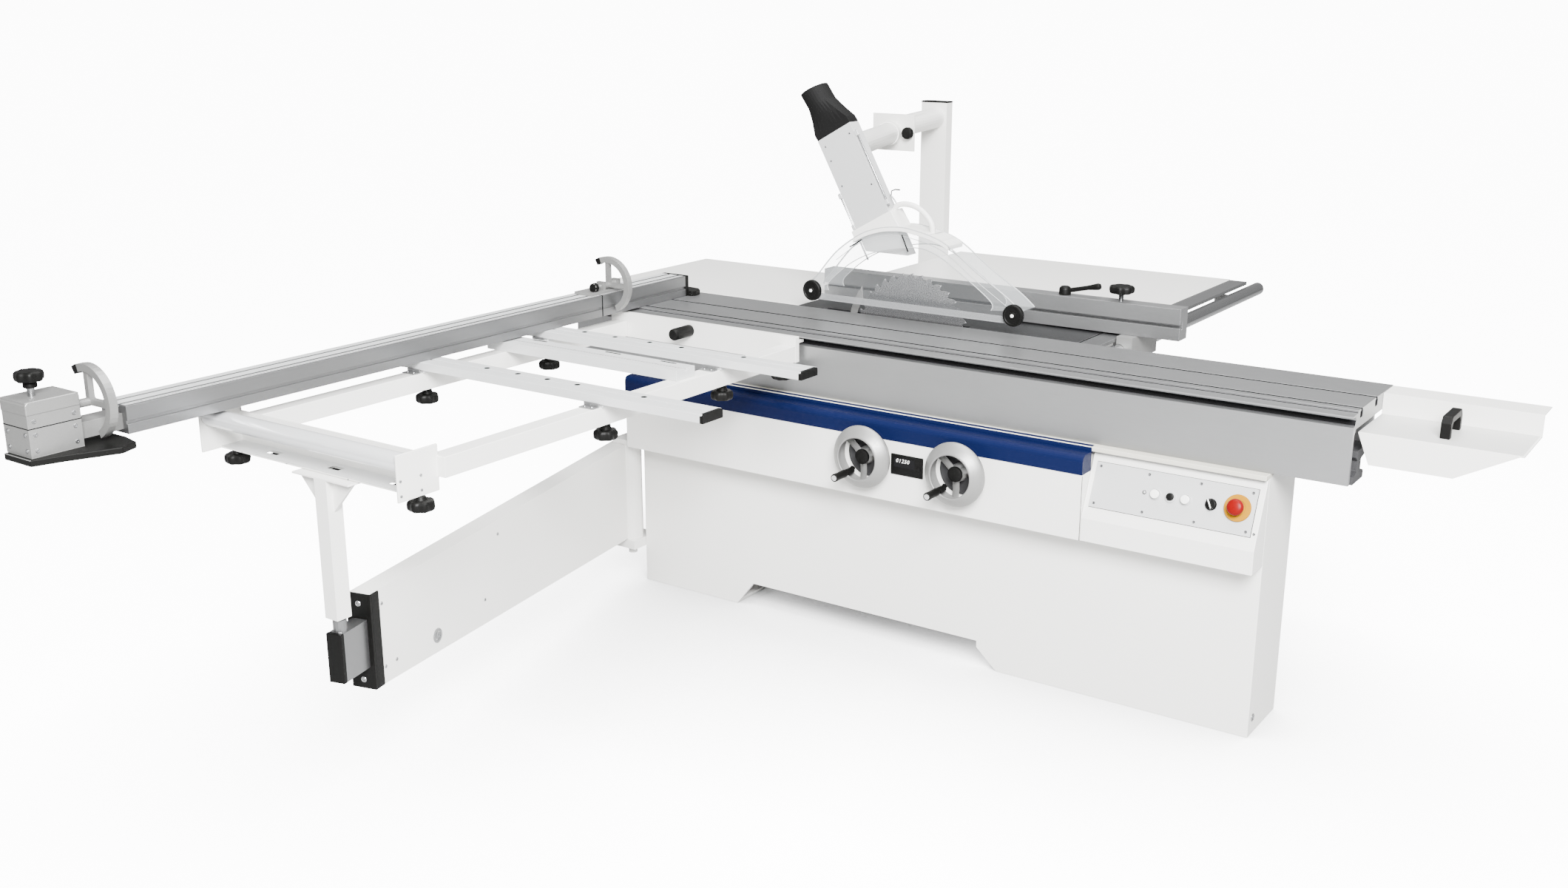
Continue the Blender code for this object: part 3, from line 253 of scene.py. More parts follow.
def box(low, high):
    """Bmesh of a box between two corners."""
    bm = bmesh.new()
    size = Vector(high) - Vector(low)
    middle = (Vector(high) + Vector(low)) / 2
    place = Matrix.Translation(middle) @ Matrix.Diagonal((*size, 1.0))
    bmesh.ops.create_cube(bm, size=1.0, matrix=place)
    return bm


def prism(outline, start, stop, along="X"):
    """Bmesh of a flat outline pushed along an axis: (Y, Z), (X, Z) or (X, Y) pairs."""
    place = {
        "X": lambda a, b, t: (t, a, b),
        "Y": lambda a, b, t: (a, t, b),
        "Z": lambda a, b, t: (a, b, t),
    }[along]
    bm = bmesh.new()
    near = [bm.verts.new(place(a, b, start)) for a, b in outline]
    far = [bm.verts.new(place(a, b, stop)) for a, b in outline]
    bm.faces.new(near)
    bm.faces.new(far)
    count = len(outline)
    for i in range(count):
        j = (i + 1) % count
        bm.faces.new((near[i], near[j], far[j], far[i]))
    return bm


def turn_to(axis):
    """Rotation that carries +Z to an axis."""
    return Vector(axis).to_track_quat("Z", "Y").to_matrix().to_4x4()


def moved(bm, matrix):
    """Move a bmesh and return it."""
    bm.transform(matrix)
    return bm


def loop_faces(bm, rings, closed):
    """Skin a list of vertex rings with quads, and cap the ends if it isn't closed."""
    pairs = list(zip(rings, rings[1:]))
    if closed:
        pairs.append((rings[-1], rings[0]))
    count = len(rings[0])
    for lower, upper in pairs:
        for i in range(count):
            j = (i + 1) % count
            bm.faces.new((lower[i], lower[j], upper[j], upper[i]))
    if not closed:
        bm.faces.new(rings[0])
        bm.faces.new(rings[-1])


def revolve(profile, axis=UP, centre=(0, 0, 0), segments=48, lobes=0, scallop=0.0, closed=False):
    """Bmesh of a turned shape from (radius, height) pairs, with an optional lobed edge."""
    bm = bmesh.new()
    rings = []
    for radius, height in profile:
        ring = []
        for i in range(segments):
            angle = 2 * math.pi * i / segments
            wave = 0.5 - 0.5 * math.cos(lobes * angle)
            reach = radius * (1.0 - scallop * wave)
            ring.append(bm.verts.new((reach * math.cos(angle), reach * math.sin(angle), height)))
        rings.append(ring)
    loop_faces(bm, rings, closed)
    return moved(bm, Matrix.Translation(centre) @ turn_to(axis))


def rod(start, stop, radius, segments=24, lip=0.0):
    """Bmesh of a round bar between two points, with an optional rounded edge."""
    axis = Vector(stop) - Vector(start)
    length = axis.length
    profile = [(radius, 0), (radius, length)]
    if lip:
        profile = [(radius - lip, 0), (radius - lip * 0.3, lip * 0.3), (radius, lip),
                   (radius, length - lip), (radius - lip * 0.3, length - lip * 0.3),
                   (radius - lip, length)]
    return revolve(profile, axis, start, segments)


def sweep(points, radius, segments=14, flat=1.0):
    """Bmesh of a bar along a path; flat below 1 makes the section an oval."""
    bm = bmesh.new()
    points = [Vector(p) for p in points]
    last = len(points) - 1
    first = points[1] - points[0]
    across = first.cross(points[-1] - points[0])
    if across.length < 1e-9:
        across = Vector(UP).cross(first)
    across = across.normalized()
    rings = []
    for k, point in enumerate(points):
        ahead = (points[min(k + 1, last)] - points[max(k - 1, 0)]).normalized()
        side = ahead.cross(across)
        ring = []
        for i in range(segments):
            angle = 2 * math.pi * i / segments
            offset = across * math.cos(angle) * flat + side * math.sin(angle)
            ring.append(bm.verts.new(point + offset * radius))
        rings.append(ring)
    loop_faces(bm, rings, False)
    return bm


def arc(centre, radius, start, stop, steps):
    """Points (a, b) on an arc, with its angles in degrees."""
    points = []
    for i in range(steps + 1):
        angle = math.radians(start + (stop - start) * i / steps)
        points.append((centre[0] + radius * math.cos(angle), centre[1] + radius * math.sin(angle)))
    return points


def merge(parts):
    """One bmesh from several."""
    bm = bmesh.new()
    for part in parts:
        mesh = bpy.data.meshes.new("part")
        part.to_mesh(mesh)
        part.free()
        bm.from_mesh(mesh)
        bpy.data.meshes.remove(mesh)
    return bm


def add(name, parts, material, body, bevel=0.0, segments=2, swap=False, smooth=35.0):
    """Make a piece from bmeshes in machine coordinates and let it ride on a body.

    It gets its finish as its material. With swap it stands in for the CAD node of its name.
    """
    bm = merge(parts)
    bmesh.ops.recalc_face_normals(bm, faces=bm.faces[:])
    bm.transform(Matrix.Translation(ORIGIN))
    mesh = bpy.data.meshes.new(name)
    bm.to_mesh(mesh)
    bm.free()
    mesh.polygons.foreach_set("use_smooth", [True] * len(mesh.polygons))
    mesh.set_sharp_from_angle(angle=math.radians(smooth))
    mesh.materials.append(MATERIALS[material])
    obj = placed(name, mesh)
    if bevel:
        soften(obj, bevel, segments)
    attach(obj, body)
    if swap:
        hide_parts(name)


def soften(obj, width, segments=2):
    """Round an object's sharp edges."""
    modifier = obj.modifiers.new("bevel", "BEVEL")
    modifier.width = width
    modifier.segments = segments
    modifier.limit_method = "ANGLE"
    modifier.angle_limit = math.radians(SHARP_EDGE)
    modifier.harden_normals = True


def screw(centre, normal, radius, height=0.002):
    """Bmesh of a screw head with a round recess."""
    profile = [(radius, 0), (radius, height * 0.5), (radius * 0.82, height), (radius * 0.5, height),
               (radius * 0.45, height * 0.3), (radius * 0.05, height * 0.25)]
    return revolve(profile, normal, centre, 20)


# -------- CAD nodes kept as they are

DRESS = {                   # (finish, width of its rounded edges): nodes
    ("white", 0.0008): "end_tray",
    ("white", 0.001): "arm_column",
    ("white", 0.0012): "guard_arm",
    ("white", 0.0015): "base_frame left_table rear_table table_frame inner_rail support_leg",
    ("white", 0.0018): "crosscut_frame",
    ("white", 0.002): "front_fascia control_box cabinet guard_post swing_arm",
    ("blue", 0.0): "blue_band",
    ("plate", 0.0): "control_plate",
    ("plate", 0.0015): "guard_duct",
    ("dark_iron", 0.001): "slideway",
    ("iron", 0.0015): "main_table",
    ("aluminium_y", 0.0008): "scale_rail",
    ("aluminium_y", 0.0012): "crosscut_fence arm_slide",
    ("steel", 0.0): "guide_bar",
    ("aluminium_x", 0.0006): "carriage",
    ("aluminium_x", 0.001): "rip_fence",
    ("bar", 0.001): "scale_bar",
    ("bar", 0.0015): "near_table_bar far_table_bar",
    ("cast", 0.0012): "stop_carrier rise_carrier",
    ("cast", 0.0015): "fence_extension tilt_frame rip_body",
    ("cast", 0.002): "inner_flip_stop outer_flip_stop",
    ("rubber", 0.0006): "hose_adapter",
}


def dress():
    """Give every CAD node its finish, and round the edges of those that stay visible."""
    finishes = {node: key for key, nodes in DRESS.items() for node in nodes.split()}
    for name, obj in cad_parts.items():
        material, width = finishes.get(name, ("black", 0.0))
        for entry in obj.material_slots:
            entry.material = MATERIALS[material]
        if not width:
            continue
        weld = obj.modifiers.new("weld", "WELD")
        weld.merge_threshold = 0.00001
        soften(obj, width)


# -------- floor

FLOOR_HALF = 400.0
FLOOR_TOP = -0.0002
SHADE_REACH = 1.1           # how far the soft shade under the machine spreads
SHADE_DEPTH = 1.7           # above 1 makes that shade darker
FLOOR_GLOW = 12.0           # lifts the floor to the backdrop's white


def build_floor():
    """Pale studio floor that glows white for the camera, with painted shade under the machine:
    ambient occlusion dims the glow.
    """
    make_material("floor", (0.4, 0.4, 0.4), 0.8, 0.0, EVEN, 4.0, 0.01, 0.02,
                  {"Emission Color": (1.0, 1.0, 1.0, 1.0)}, 0.001)
    tree = MATERIALS["floor"].node_tree
    seen = tree.nodes.new("ShaderNodeLightPath").outputs["Is Camera Ray"]
    # painted shade: the glow fades where the machine hides the floor from the surroundings
    near = tree.nodes.new("ShaderNodeAmbientOcclusion")
    near.inputs["Distance"].default_value = SHADE_REACH
    painted_shade_factor = calculated(tree, "POWER", near.outputs["AO"], SHADE_DEPTH)
    glow = calculated(tree, "MULTIPLY", seen, FLOOR_GLOW)
    tree.links.new(calculated(tree, "MULTIPLY", painted_shade_factor, glow),
                   tree.nodes["Principled BSDF"].inputs["Emission Strength"])
    bm = box((-FLOOR_HALF, -FLOOR_HALF, -0.02), (FLOOR_HALF, FLOOR_HALF, FLOOR_TOP))
    mesh = bpy.data.meshes.new("floor")
    bm.to_mesh(mesh)
    bm.free()
    mesh.materials.append(MATERIALS["floor"])
    floor = placed("floor", mesh)


# -------- handwheels and counter

WHEEL_BACK = -0.0833
WHEEL_Z = 0.611
FASCIA_FACE = -0.083
RISE_X = 0.913
TILT_X = 1.215
GRIP_REACH = 0.06
GRIP_ANGLE = 127.0
SPOKE_ANGLES = (95.0, 215.0, 335.0)
SPOKE = ((0.016, 0.024), (0.032, 0.02), (0.05, 0.0165), (0.076, 0.0165))  # (reach, depth)

RIM_PROFILE = [
    (0.0895, 0.033), (0.0918, 0.0345), (0.0925, 0.0375), (0.0922, 0.0405), (0.0905, 0.044),
    (0.08, 0.0545), (0.069, 0.064), (0.0655, 0.0668), (0.063, 0.0672), (0.0612, 0.0662),
    (0.0604, 0.064), (0.0608, 0.0615), (0.07, 0.053), (0.079, 0.044), (0.0805, 0.04),
    (0.08, 0.034), (0.074, 0.02), (0.072, 0.014), (0.0735, 0.0122), (0.0785, 0.0122),
    (0.083, 0.02), (0.0865, 0.029),
]


def wheel_point(seat, reach, angle, depth):
    """Point on a handwheel at a distance, an angle and a depth in front of its back."""
    turn = math.radians(angle)
    return seat + Vector((reach * math.cos(turn), -depth, -reach * math.sin(turn)))


def handwheel(name, x):
    """Cast wheel with cone rim, curved spokes and hub, its black cap, and the crank grip."""
    seat = Vector((x, WHEEL_BACK, WHEEL_Z))
    wheel, grip = name + "_handwheel", name + "_grip"
    body = wheel + "_body"
    hub = [(0.004, 0.0), (0.024, 0.0), (0.026, 0.004), (0.025, 0.02), (0.021, 0.028),
           (0.012, 0.0285)]
    metal = [revolve(RIM_PROFILE, OUTWARD, seat, 72, closed=True), revolve(hub, OUTWARD, seat, 40)]
    for angle in SPOKE_ANGLES:
        path = [wheel_point(seat, reach, angle, depth) for reach, depth in SPOKE]
        metal.append(sweep(path, 0.0045, 20, 2.3))
    add(wheel, metal, "cast", body, swap=True)
    back = [(0.084, 0.027), (0.0912, 0.0315), (0.0918, 0.0342), (0.085, 0.0305)]
    add(name + "_wheel_back", [revolve(back, OUTWARD, seat, 72, closed=True)], "black", body)
    cap = [(0.018, 0.0286), (0.0215, 0.03), (0.0225, 0.033), (0.0215, 0.0375), (0.016, 0.04),
           (0.0003, 0.041)]
    post = [wheel_point(seat, GRIP_REACH, GRIP_ANGLE, depth) for depth in (0.03, 0.0675)]
    bridge = [wheel_point(seat, reach, GRIP_ANGLE, 0.04) for reach in (0.045, 0.074)]
    fork = [revolve(cap, OUTWARD, seat, 40), rod(*post, 0.01, 28, 0.002), rod(*bridge, 0.0075, 20)]
    add(name + "_wheel_cap", fork, "black", body)
    tip = wheel_point(seat, GRIP_REACH, GRIP_ANGLE, 0.0683)
    handle = [(0.0075, 0.0), (0.0105, 0.0015), (0.0118, 0.005), (0.0112, 0.02), (0.0108, 0.036),
              (0.0119, 0.052), (0.0113, 0.057), (0.0092, 0.058), (0.0086, 0.0572), (0.0003, 0.0572)]
    add(grip, [revolve(handle, OUTWARD, tip, 32)], "black", grip + "_body", swap=True)
    disc = [(0.0084, 0.057), (0.008, 0.0577), (0.0066, 0.0581), (0.004, 0.0577), (0.0003, 0.058)]
    add(name + "_grip_end", [revolve(disc, OUTWARD, tip, 28)], "chrome", grip + "_body")


def wheel_shade_disc(name, x):
    """Dark dished disc on the fascia behind a handwheel, shaped as a bearing plate: painted shade
    for the wheel's dark inside.
    """
    dish = [(0.024, -0.0008), (0.066, -0.0008), (0.0665, 0.001), (0.064, 0.0022), (0.05, 0.0016),
            (0.03, 0.0022), (0.024, 0.0016)]
    seat = (x, FASCIA_FACE, WHEEL_Z)
    # painted shade: the dark disc shows through the gaps between the spokes
    add(name, [revolve(dish, OUTWARD, seat, 72, closed=True)], "dark_iron", "machine")


DIGIT_SHARE = 0.7           # a numeral's height as a share of the font's size


def digits(name, text, height, place):
    """Raised upright numerals as a mesh piece."""
    curve = bpy.data.curves.new(name, "FONT")
    curve.body = text
    curve.size = height / DIGIT_SHARE
    curve.extrude = 0.0002
    curve.shear = 0.25
    curve.space_character = 1.15
    curve.align_x = "CENTER"
    curve.align_y = "CENTER"
    words = placed(name, curve)
    bpy.context.view_layer.update()
    graph = bpy.context.evaluated_depsgraph_get()
    mesh = bpy.data.meshes.new_from_object(words.evaluated_get(graph))
    bpy.data.objects.remove(words, do_unlink=True)
    bm = bmesh.new()
    bm.from_mesh(mesh)
    bmesh.ops.remove_doubles(bm, verts=bm.verts[:], dist=0.000001)
    bm.transform(Matrix.Translation(place) @ Matrix.Rotation(math.radians(90.0), 4, "X"))
    bpy.data.meshes.remove(mesh)
    add(name, [bm], "digit", "machine")


def counter():
    """Black revolution counter between the handwheels, with its drum window."""
    case = box((0.99, -0.0865, 0.566), (1.095, -0.0826, 0.627))
    window = box((1.0005, -0.0874, 0.5885), (1.068, -0.086, 0.6165))
    button = rod((1.08, -0.086, 0.594), (1.08, -0.0885, 0.594), 0.0075, 24, 0.001)
    add("counter_case", [case], "black", "machine", 0.0015)
    add("counter_window", [window], "groove", "machine", 0.001)
    add("counter_button", [button], "black", "machine")
    digits("counter_digits", "01250", 0.011, (1.029, -0.08755, 0.6085))


# -------- control panel

FACE_FOOT = (-0.08, 0.544)  # (Y, Z) where the control face starts to lean back
FACE_HEAD = (-0.016, 0.702)
FACE_LEAN = math.atan2(FACE_HEAD[0] - FACE_FOOT[0], FACE_HEAD[1] - FACE_FOOT[1])
FACE_NORMAL = Vector((0.0, -math.cos(FACE_LEAN), math.sin(FACE_LEAN)))
FACE_RISE = Vector((0.0, math.sin(FACE_LEAN), math.cos(FACE_LEAN)))
PLATE_FRONT = 0.0031
PANEL_X = 1.811
PANEL_Z = 0.633
BUTTON_Z = 0.635


def face_matrix(x, z, lift=0.0):
    """Places a shape on the leaning face: X along the box, Y up the face, Z outwards."""
    share = (z - FACE_FOOT[1]) / (FACE_HEAD[1] - FACE_FOOT[1])
    y = FACE_FOOT[0] + share * (FACE_HEAD[0] - FACE_FOOT[0])
    place = Vector((x, y, z)) + FACE_NORMAL * lift
    turn = Matrix((Vector((1.0, 0.0, 0.0)), FACE_RISE, FACE_NORMAL)).transposed()
    return Matrix.Translation(place) @ turn.to_4x4()


def push_button(name, x, radius, material):
    """Round push button in a chromed bezel."""
    place = face_matrix(x, BUTTON_Z)
    cap = [(radius, 0.0066), (radius, 0.012), (radius * 0.94, 0.0136), (radius * 0.8, 0.0142),
           (0.0003, 0.0137)]
    add(name, [moved(revolve(cap, segments=40), place)], material, name + "_body", swap=True)
    edge = radius + 0.0006
    ring = [(edge, PLATE_FRONT), (0.0152, PLATE_FRONT), (0.0152, 0.0055), (0.0142, 0.0072),
            (edge + 0.0005, 0.0072), (edge, 0.0065)]
    ring = moved(revolve(ring, segments=48, closed=True), place)
    add(name + "_bezel", [ring], "plate", "machine")


def selector():
    """Black rotary switch with its white pointer."""
    place = face_matrix(1.916, BUTTON_Z)
    skirt = [(0.0155, 0.0035), (0.0155, 0.006), (0.014, 0.0085), (0.0125, 0.01), (0.0118, 0.0105),
             (0.0003, 0.0106)]
    turn = place @ Matrix.Rotation(math.radians(28.0), 4, "Z")
    across = turn @ Matrix.Rotation(math.radians(90.0), 4, "Z")
    grip = moved(box((-0.0135, -0.0048, 0.0098), (0.0135, 0.0048, 0.019)), across)
    body = "selector_switch_body"
    add("selector_switch", [moved(revolve(skirt, segments=48), place), grip], "black", body, 0.001,
        swap=True)
    mark = moved(box((-0.0016, -0.012, 0.0186), (0.0016, 0.0132, 0.0194)), turn)
    add("selector_pointer", [mark], "digit", body, 0.0003)


def emergency_stop():
    """Red mushroom head on a yellow collar."""
    place = face_matrix(1.985, 0.638)
    collar = [(0.0345, 0.0034), (0.035, 0.004), (0.035, 0.0078), (0.0338, 0.0092), (0.0215, 0.0094),
              (0.0205, 0.0086), (0.0155, 0.0086), (0.0003, 0.0086)]
    add("stop_collar", [moved(revolve(collar, segments=64), place)], "yellow", "machine", swap=True)
    head = [(0.0112, 0.014), (0.0118, 0.018), (0.0175, 0.02), (0.0205, 0.0222), (0.0215, 0.0252),
            (0.0213, 0.029), (0.0195, 0.0325), (0.015, 0.0352), (0.0085, 0.0366), (0.0003, 0.0371)]
    body = "emergency_stop_body"
    add("emergency_stop", [moved(revolve(head, segments=56), place)], "red", body, swap=True)
    neck = [(0.013, 0.0087), (0.0155, 0.0087), (0.0152, 0.0112), (0.0142, 0.0122), (0.0131, 0.0116)]
    add("stop_neck", [moved(revolve(neck, segments=48, closed=True), place)], "black", "machine")


def panel():
    """Everything on the control plate."""
    push_button("start_button", 1.767, 0.0118, "ivory")
    push_button("stop_button", 1.808, 0.0096, "black")
    push_button("second_start_button", 1.849, 0.0118, "ivory")
    selector()
    emergency_stop()
    lamp = face_matrix(1.737, BUTTON_Z)
    ring = [(0.0036, PLATE_FRONT), (0.0056, PLATE_FRONT), (0.0054, 0.0048), (0.0036, 0.005)]
    dome = [(0.0035, PLATE_FRONT), (0.0034, 0.005), (0.0022, 0.0066), (0.0003, 0.0072)]
    add("lamp_ring", [moved(revolve(ring, segments=32, closed=True), lamp)], "steel", "machine")
    add("lamp_dome", [moved(revolve(dome, segments=24), lamp)], "plate", "machine")
    under = face_matrix(PANEL_X, PANEL_Z)
    add("plate_seam", [moved(box((-0.2194, -0.0624, -0.001), (0.2194, 0.0624, 0.0006)), under)],
        "groove", "machine", 0.0004)
    middle = face_matrix(PANEL_X, PANEL_Z, PLATE_FRONT - 0.0002)
    heads = [moved(screw((across, up, 0.0), UP, 0.004, 0.002), middle)
             for across in (-0.2055, -0.07, 0.07, 0.2055) for up in (-0.05, 0.05)]
    heads.append(moved(screw((0.226, -0.052, -0.0029), UP, 0.0036, 0.0018), middle))
    add("panel_screws", heads, "steel", "machine")


def rim_strip():
    """Cream cover of the base's rim, with a painted shadow line in the gap under it."""
    front = RIM_LIP - 0.0004
    strip = box((-0.0004, front, 0.7166), (2.0464, 0.0196, 0.7295))
    add("rim_strip", [strip], "cream", "machine", 0.002, 3)
    lip = [(-0.0316, 0.714), (-0.0316, 0.7245), (-0.03, 0.7282), (-0.0265, 0.7302),
           (-0.0125, 0.7302), (-0.0125, 0.714)]
    add("band_lip", [prism(lip, -0.0002, 1.5768)], "blue", "machine", 0.0008)
    corner = rod((1.5769, -0.0833, 0.4815), (1.5769, -0.0833, 0.66), 0.0008, 10, 0.0003)
    add("box_seam", [corner], "groove", "machine")
    # painted shadow: near-black strip under the rim strip's front edge
    seam = box((0.001, -0.0268, 0.7158), (2.045, -0.01, 0.717))
    add("rim_shadow_line", [seam], "groove", "machine", 0.0003)


# -------- blade guard

GUARD_Y = 0.358
GUARD_NEAR = 0.312
GUARD_FAR = 0.404
SHEET = 0.003               # thickness of the clear walls
ROOF_GAP = (0.655, 0.835)   # X of the opening that the crown covers
ROOF_MIDDLE = 0.808
ROOF_TAPER = 0.01           # draws the roof's underside in towards the middle
HOOD_STEPS = 72
SKIRT_FOOT = 0.952
DUCT_TOP = Vector((0.5125, GUARD_Y, 1.4755))
DUCT_FRAME = Matrix.Translation(DUCT_TOP) @ Matrix.Rotation(math.radians(-29.0), 4, "Y")
DUCT_HALF = 0.0665
DUCT_DEPTH = 0.025
CROWN_NEAR = 0.322
CROWN_FAR = 0.394
HOOD = [(0.434, 0.985), (0.445, 1.005), (0.47, 1.03), (0.54, 1.11), (0.618, 1.166), (0.68, 1.192),
        (0.742, 1.203), (0.807, 1.201), (0.917, 1.172), (1.031, 1.095), (1.136, 1.029),
        (1.183, 0.992)]
ARCH = [(0.512, 0.985), (0.514, 1.012), (0.594, 1.079), (0.686, 1.122), (0.816, 1.147),
        (0.893, 1.134), (0.982, 1.083), (1.083, 1.012), (1.086, 0.985)]


def smooth_path(points, steps=6):
    """Catmull-Rom curve through flat points."""
    padded = [points[0]] + list(points) + [points[-1]]
    result = []
    for p0, p1, p2, p3 in zip(padded, padded[1:], padded[2:], padded[3:]):
        for i in range(steps):
            t = i / steps
            result.append(tuple(0.5 * (2 * b + (c - a) * t + (2 * a - 5 * b + 4 * c - d) * t * t
                                       + (3 * b - a - 3 * c + d) * t ** 3)
                                for a, b, c, d in zip(p0, p1, p2, p3)))
    return result + [points[-1]]


def strip_between(upper, lower, near, far):
    """Flat wall between two (X, Z) paths of the same length, from near to far along Y."""
    return prism(list(upper) + list(reversed(lower)), near, far, "Y")


def resampled(points, count):
    """The same path with evenly spaced points."""
    lengths = [0.0]
    for a, b in zip(points, points[1:]):
        lengths.append(lengths[-1] + math.dist(a, b))
    result = []
    k = 0
    for i in range(count):
        want = lengths[-1] * i / (count - 1)
        while k < len(points) - 2 and lengths[k + 1] < want:
            k += 1
        share = (want - lengths[k]) / (lengths[k + 1] - lengths[k])
        result.append(tuple(a + (b - a) * share for a, b in zip(points[k], points[k + 1])))
    return result


def edge_line(path, y, radius):
    """Polished edge of the clear hood along an (X, Z) path."""
    return sweep([(x, y, z) for x, z in path], radius, 10)


def hood():
    """Clear hood: near wall, far arch, the roof band and their polished edges."""
    outer = resampled(smooth_path(HOOD), HOOD_STEPS)
    inner = resampled(smooth_path(ARCH), HOOD_STEPS)
    under = [(x + (ROOF_MIDDLE - x) * ROOF_TAPER, z - SHEET) for x, z in outer]
    under = resampled(under, HOOD_STEPS)
    walls = [strip_between(outer, inner, y, y + SHEET) for y in (GUARD_NEAR, GUARD_FAR - SHEET)]
    lower = [(0.44, SKIRT_FOOT), (0.436, 0.985)] + inner + [(1.181, 0.985), (1.18, SKIRT_FOOT)]
    skirt = prism(lower, GUARD_NEAR + 0.0002, GUARD_NEAR + SHEET, "Y")
    left = [k for k, (x, _) in enumerate(outer) if x < ROOF_GAP[0]]
    right = [k for k, (x, _) in enumerate(outer) if x > ROOF_GAP[1]]
    roofs = [strip_between([outer[k] for k in part], [under[k] for k in part],
                           GUARD_NEAR + SHEET + 0.0002, GUARD_FAR - SHEET - 0.0002)
             for part in (left, right)]
    add("clear_guard", walls + roofs, "clear", "guard_hood", swap=True, smooth=50.0)
    add("guard_skirt", [skirt], "clear_skirt", "guard_hood")
    edges = []
    for y in (GUARD_NEAR + 0.0012, GUARD_FAR - 0.0012):
        edges.append(edge_line(outer, y, 0.0022))
        edges.append(edge_line(inner, y, 0.0016))
    foot = resampled([(0.442, 0.9535), (1.178, 0.9535)], 12)
    edges.append(edge_line(foot, GUARD_NEAR + 0.0014, 0.0014))
    fold = [(x, z - 0.026) for x, z in smooth_path(HOOD[3:-1])]
    edges.append(edge_line(resampled(fold, 60), GUARD_NEAR + 0.0005, 0.0011))
    add("guard_edges", edges, "clear_edge", "guard_hood")


def crown():
    """White crown round the duct, its arched band, the bow handle and the dark entry slits."""
    top = resampled(smooth_path(HOOD), 90)
    seat = [(x, z - 0.003) for x, z in top if 0.6 < x < 0.765]
    outline = [(0.588, 1.1743), (0.7279, 1.2519)] + seat[::-1]
    block = prism(outline, CROWN_NEAR, CROWN_FAR, "Y")
    band = [p for p in top if 0.596 < p[0] < 0.94]
    below = [(x, z - 0.013) for x, z in band]
    bow = smooth_path([(0.718, 1.244), (0.733, 1.264), (0.768, 1.269), (0.805, 1.26),
                       (0.836, 1.238), (0.854, 1.212), (0.857, 1.183)], 5)
    add("guard_crown", [block, strip_between(band, below, GUARD_NEAR - 0.0008, GUARD_FAR + 0.0008),
                        sweep([(x, GUARD_Y, z) for x, z in bow], 0.0085, 18)],
        "white", "guard_hood", 0.0015, swap=True)
    y = GUARD_NEAR - 0.0002
    slits = [rod((0.59, y, 1.129), (0.634, y, 1.156), 0.002, 12, 0.0005),
             rod((0.776, y, 1.183), (0.799, y, 1.133), 0.002, 12, 0.0005)]
    add("guard_slits", slits, "groove", "guard_hood")
    strip = box((0.446, GUARD_NEAR - 0.001, 0.9522), (1.176, GUARD_NEAR + 0.0016, 0.973))
    add("guard_strip", [strip], "clear_strip", "guard_hood", 0.0006)


def guard_wheel(name, x):
    """Black guide wheel with its pale centre screw."""
    seat = (x, GUARD_NEAR - 0.0003, 0.981)
    tread = [(0.01, 0.0), (0.01, 0.003), (0.03, 0.003), (0.0325, 0.005), (0.033, 0.008),
             (0.0325, 0.015), (0.03, 0.018), (0.026, 0.0188), (0.024, 0.017), (0.011, 0.0165),
             (0.0095, 0.0185), (0.006, 0.0188), (0.0003, 0.0188)]
    body = name + "_body"
    add(name, [revolve(tread, OUTWARD, seat, 56)], "black", body, swap=True)
    head = [(0.0052, 0.0186), (0.005, 0.02), (0.0036, 0.0203), (0.0003, 0.0198)]
    add(name + "_screw", [revolve(head, OUTWARD, seat, 24)], "ivory", body)


def duct_details():
    """Guide rods, their brackets, screws and the small latch on the duct."""
    front = -DUCT_DEPTH
    rods = []
    for side, low, high in ((1, -0.285, -0.03), (-1, -0.4, -0.175)):
        x, y = side * (DUCT_HALF + 0.007), front + 0.004
        rods.append(moved(rod((x, y, low), (x, y, high), 0.0028, 14, 0.0006), DUCT_FRAME))
    add("guard_rods", rods, "steel", "guard_hood")
    brackets = []
    for side, height in ((1, -0.04), (-1, -0.185), (1, -0.27), (-1, -0.29)):
        inner = side * (DUCT_HALF + 0.0002)
        outer = side * (DUCT_HALF + 0.012)
        low = (min(inner, outer), front - 0.001, height - 0.008)
        high = (max(inner, outer), front + 0.01, height + 0.008)
        brackets.append(moved(box(low, high), DUCT_FRAME))
    add("guard_rod_brackets", brackets[:2], "plate", "guard_arm_body", 0.0012)
    add("guard_rod_feet", brackets[2:], "plate", "guard_hood", 0.0012)
    places = ((0.05, -0.03), (-0.05, -0.075), (-0.05, -0.16), (0.05, -0.2), (-0.048, -0.028))
    heads = [moved(screw((x, front - 0.0001, z), OUTWARD, 0.0032, 0.0014), DUCT_FRAME)
             for x, z in places]
    add("duct_screws", heads, "steel", "guard_arm_body")
    latch = [(0.09, 0.0, -0.298), (0.086, 0.0, -0.27), (0.082, 0.0, -0.256), (0.09, 0.0, -0.244),
             (0.104, 0.0, -0.246), (0.118, 0.0, -0.254)]
    bent = [DUCT_FRAME @ Vector(p) for p in latch]
    add("guard_latch", [sweep(bent, 0.0024, 12)], "steel", "guard_hood")


def clamp_knob():
    """Round clamping knob on the guard's cross sleeve."""
    seat = (0.287, 1.1857, 1.4)
    shape = [(0.006, 0.0), (0.006, 0.009), (0.0185, 0.0095), (0.0212, 0.012), (0.022, 0.016),
             (0.022, 0.024), (0.0205, 0.028), (0.017, 0.0298), (0.008, 0.03), (0.0003, 0.0292)]
    add("guard_clamp_knob", [revolve(shape, OUTWARD, seat, 56, 10, 0.05)], "black",
        "guard_clamp_knob_body", swap=True)


BLADE_X = 0.792
BLADE_Z = 0.86
BLADE_HALF = 0.0012
TEETH = 36
# one tooth's outline as (share of the pitch, radius)
TOOTH = ((0.0, 0.2), (0.1, 0.199), (0.38, 0.1945), (0.56, 0.19), (0.66, 0.1862),
         (0.76, 0.1842), (0.86, 0.1848), (0.93, 0.1875), (0.97, 0.193))


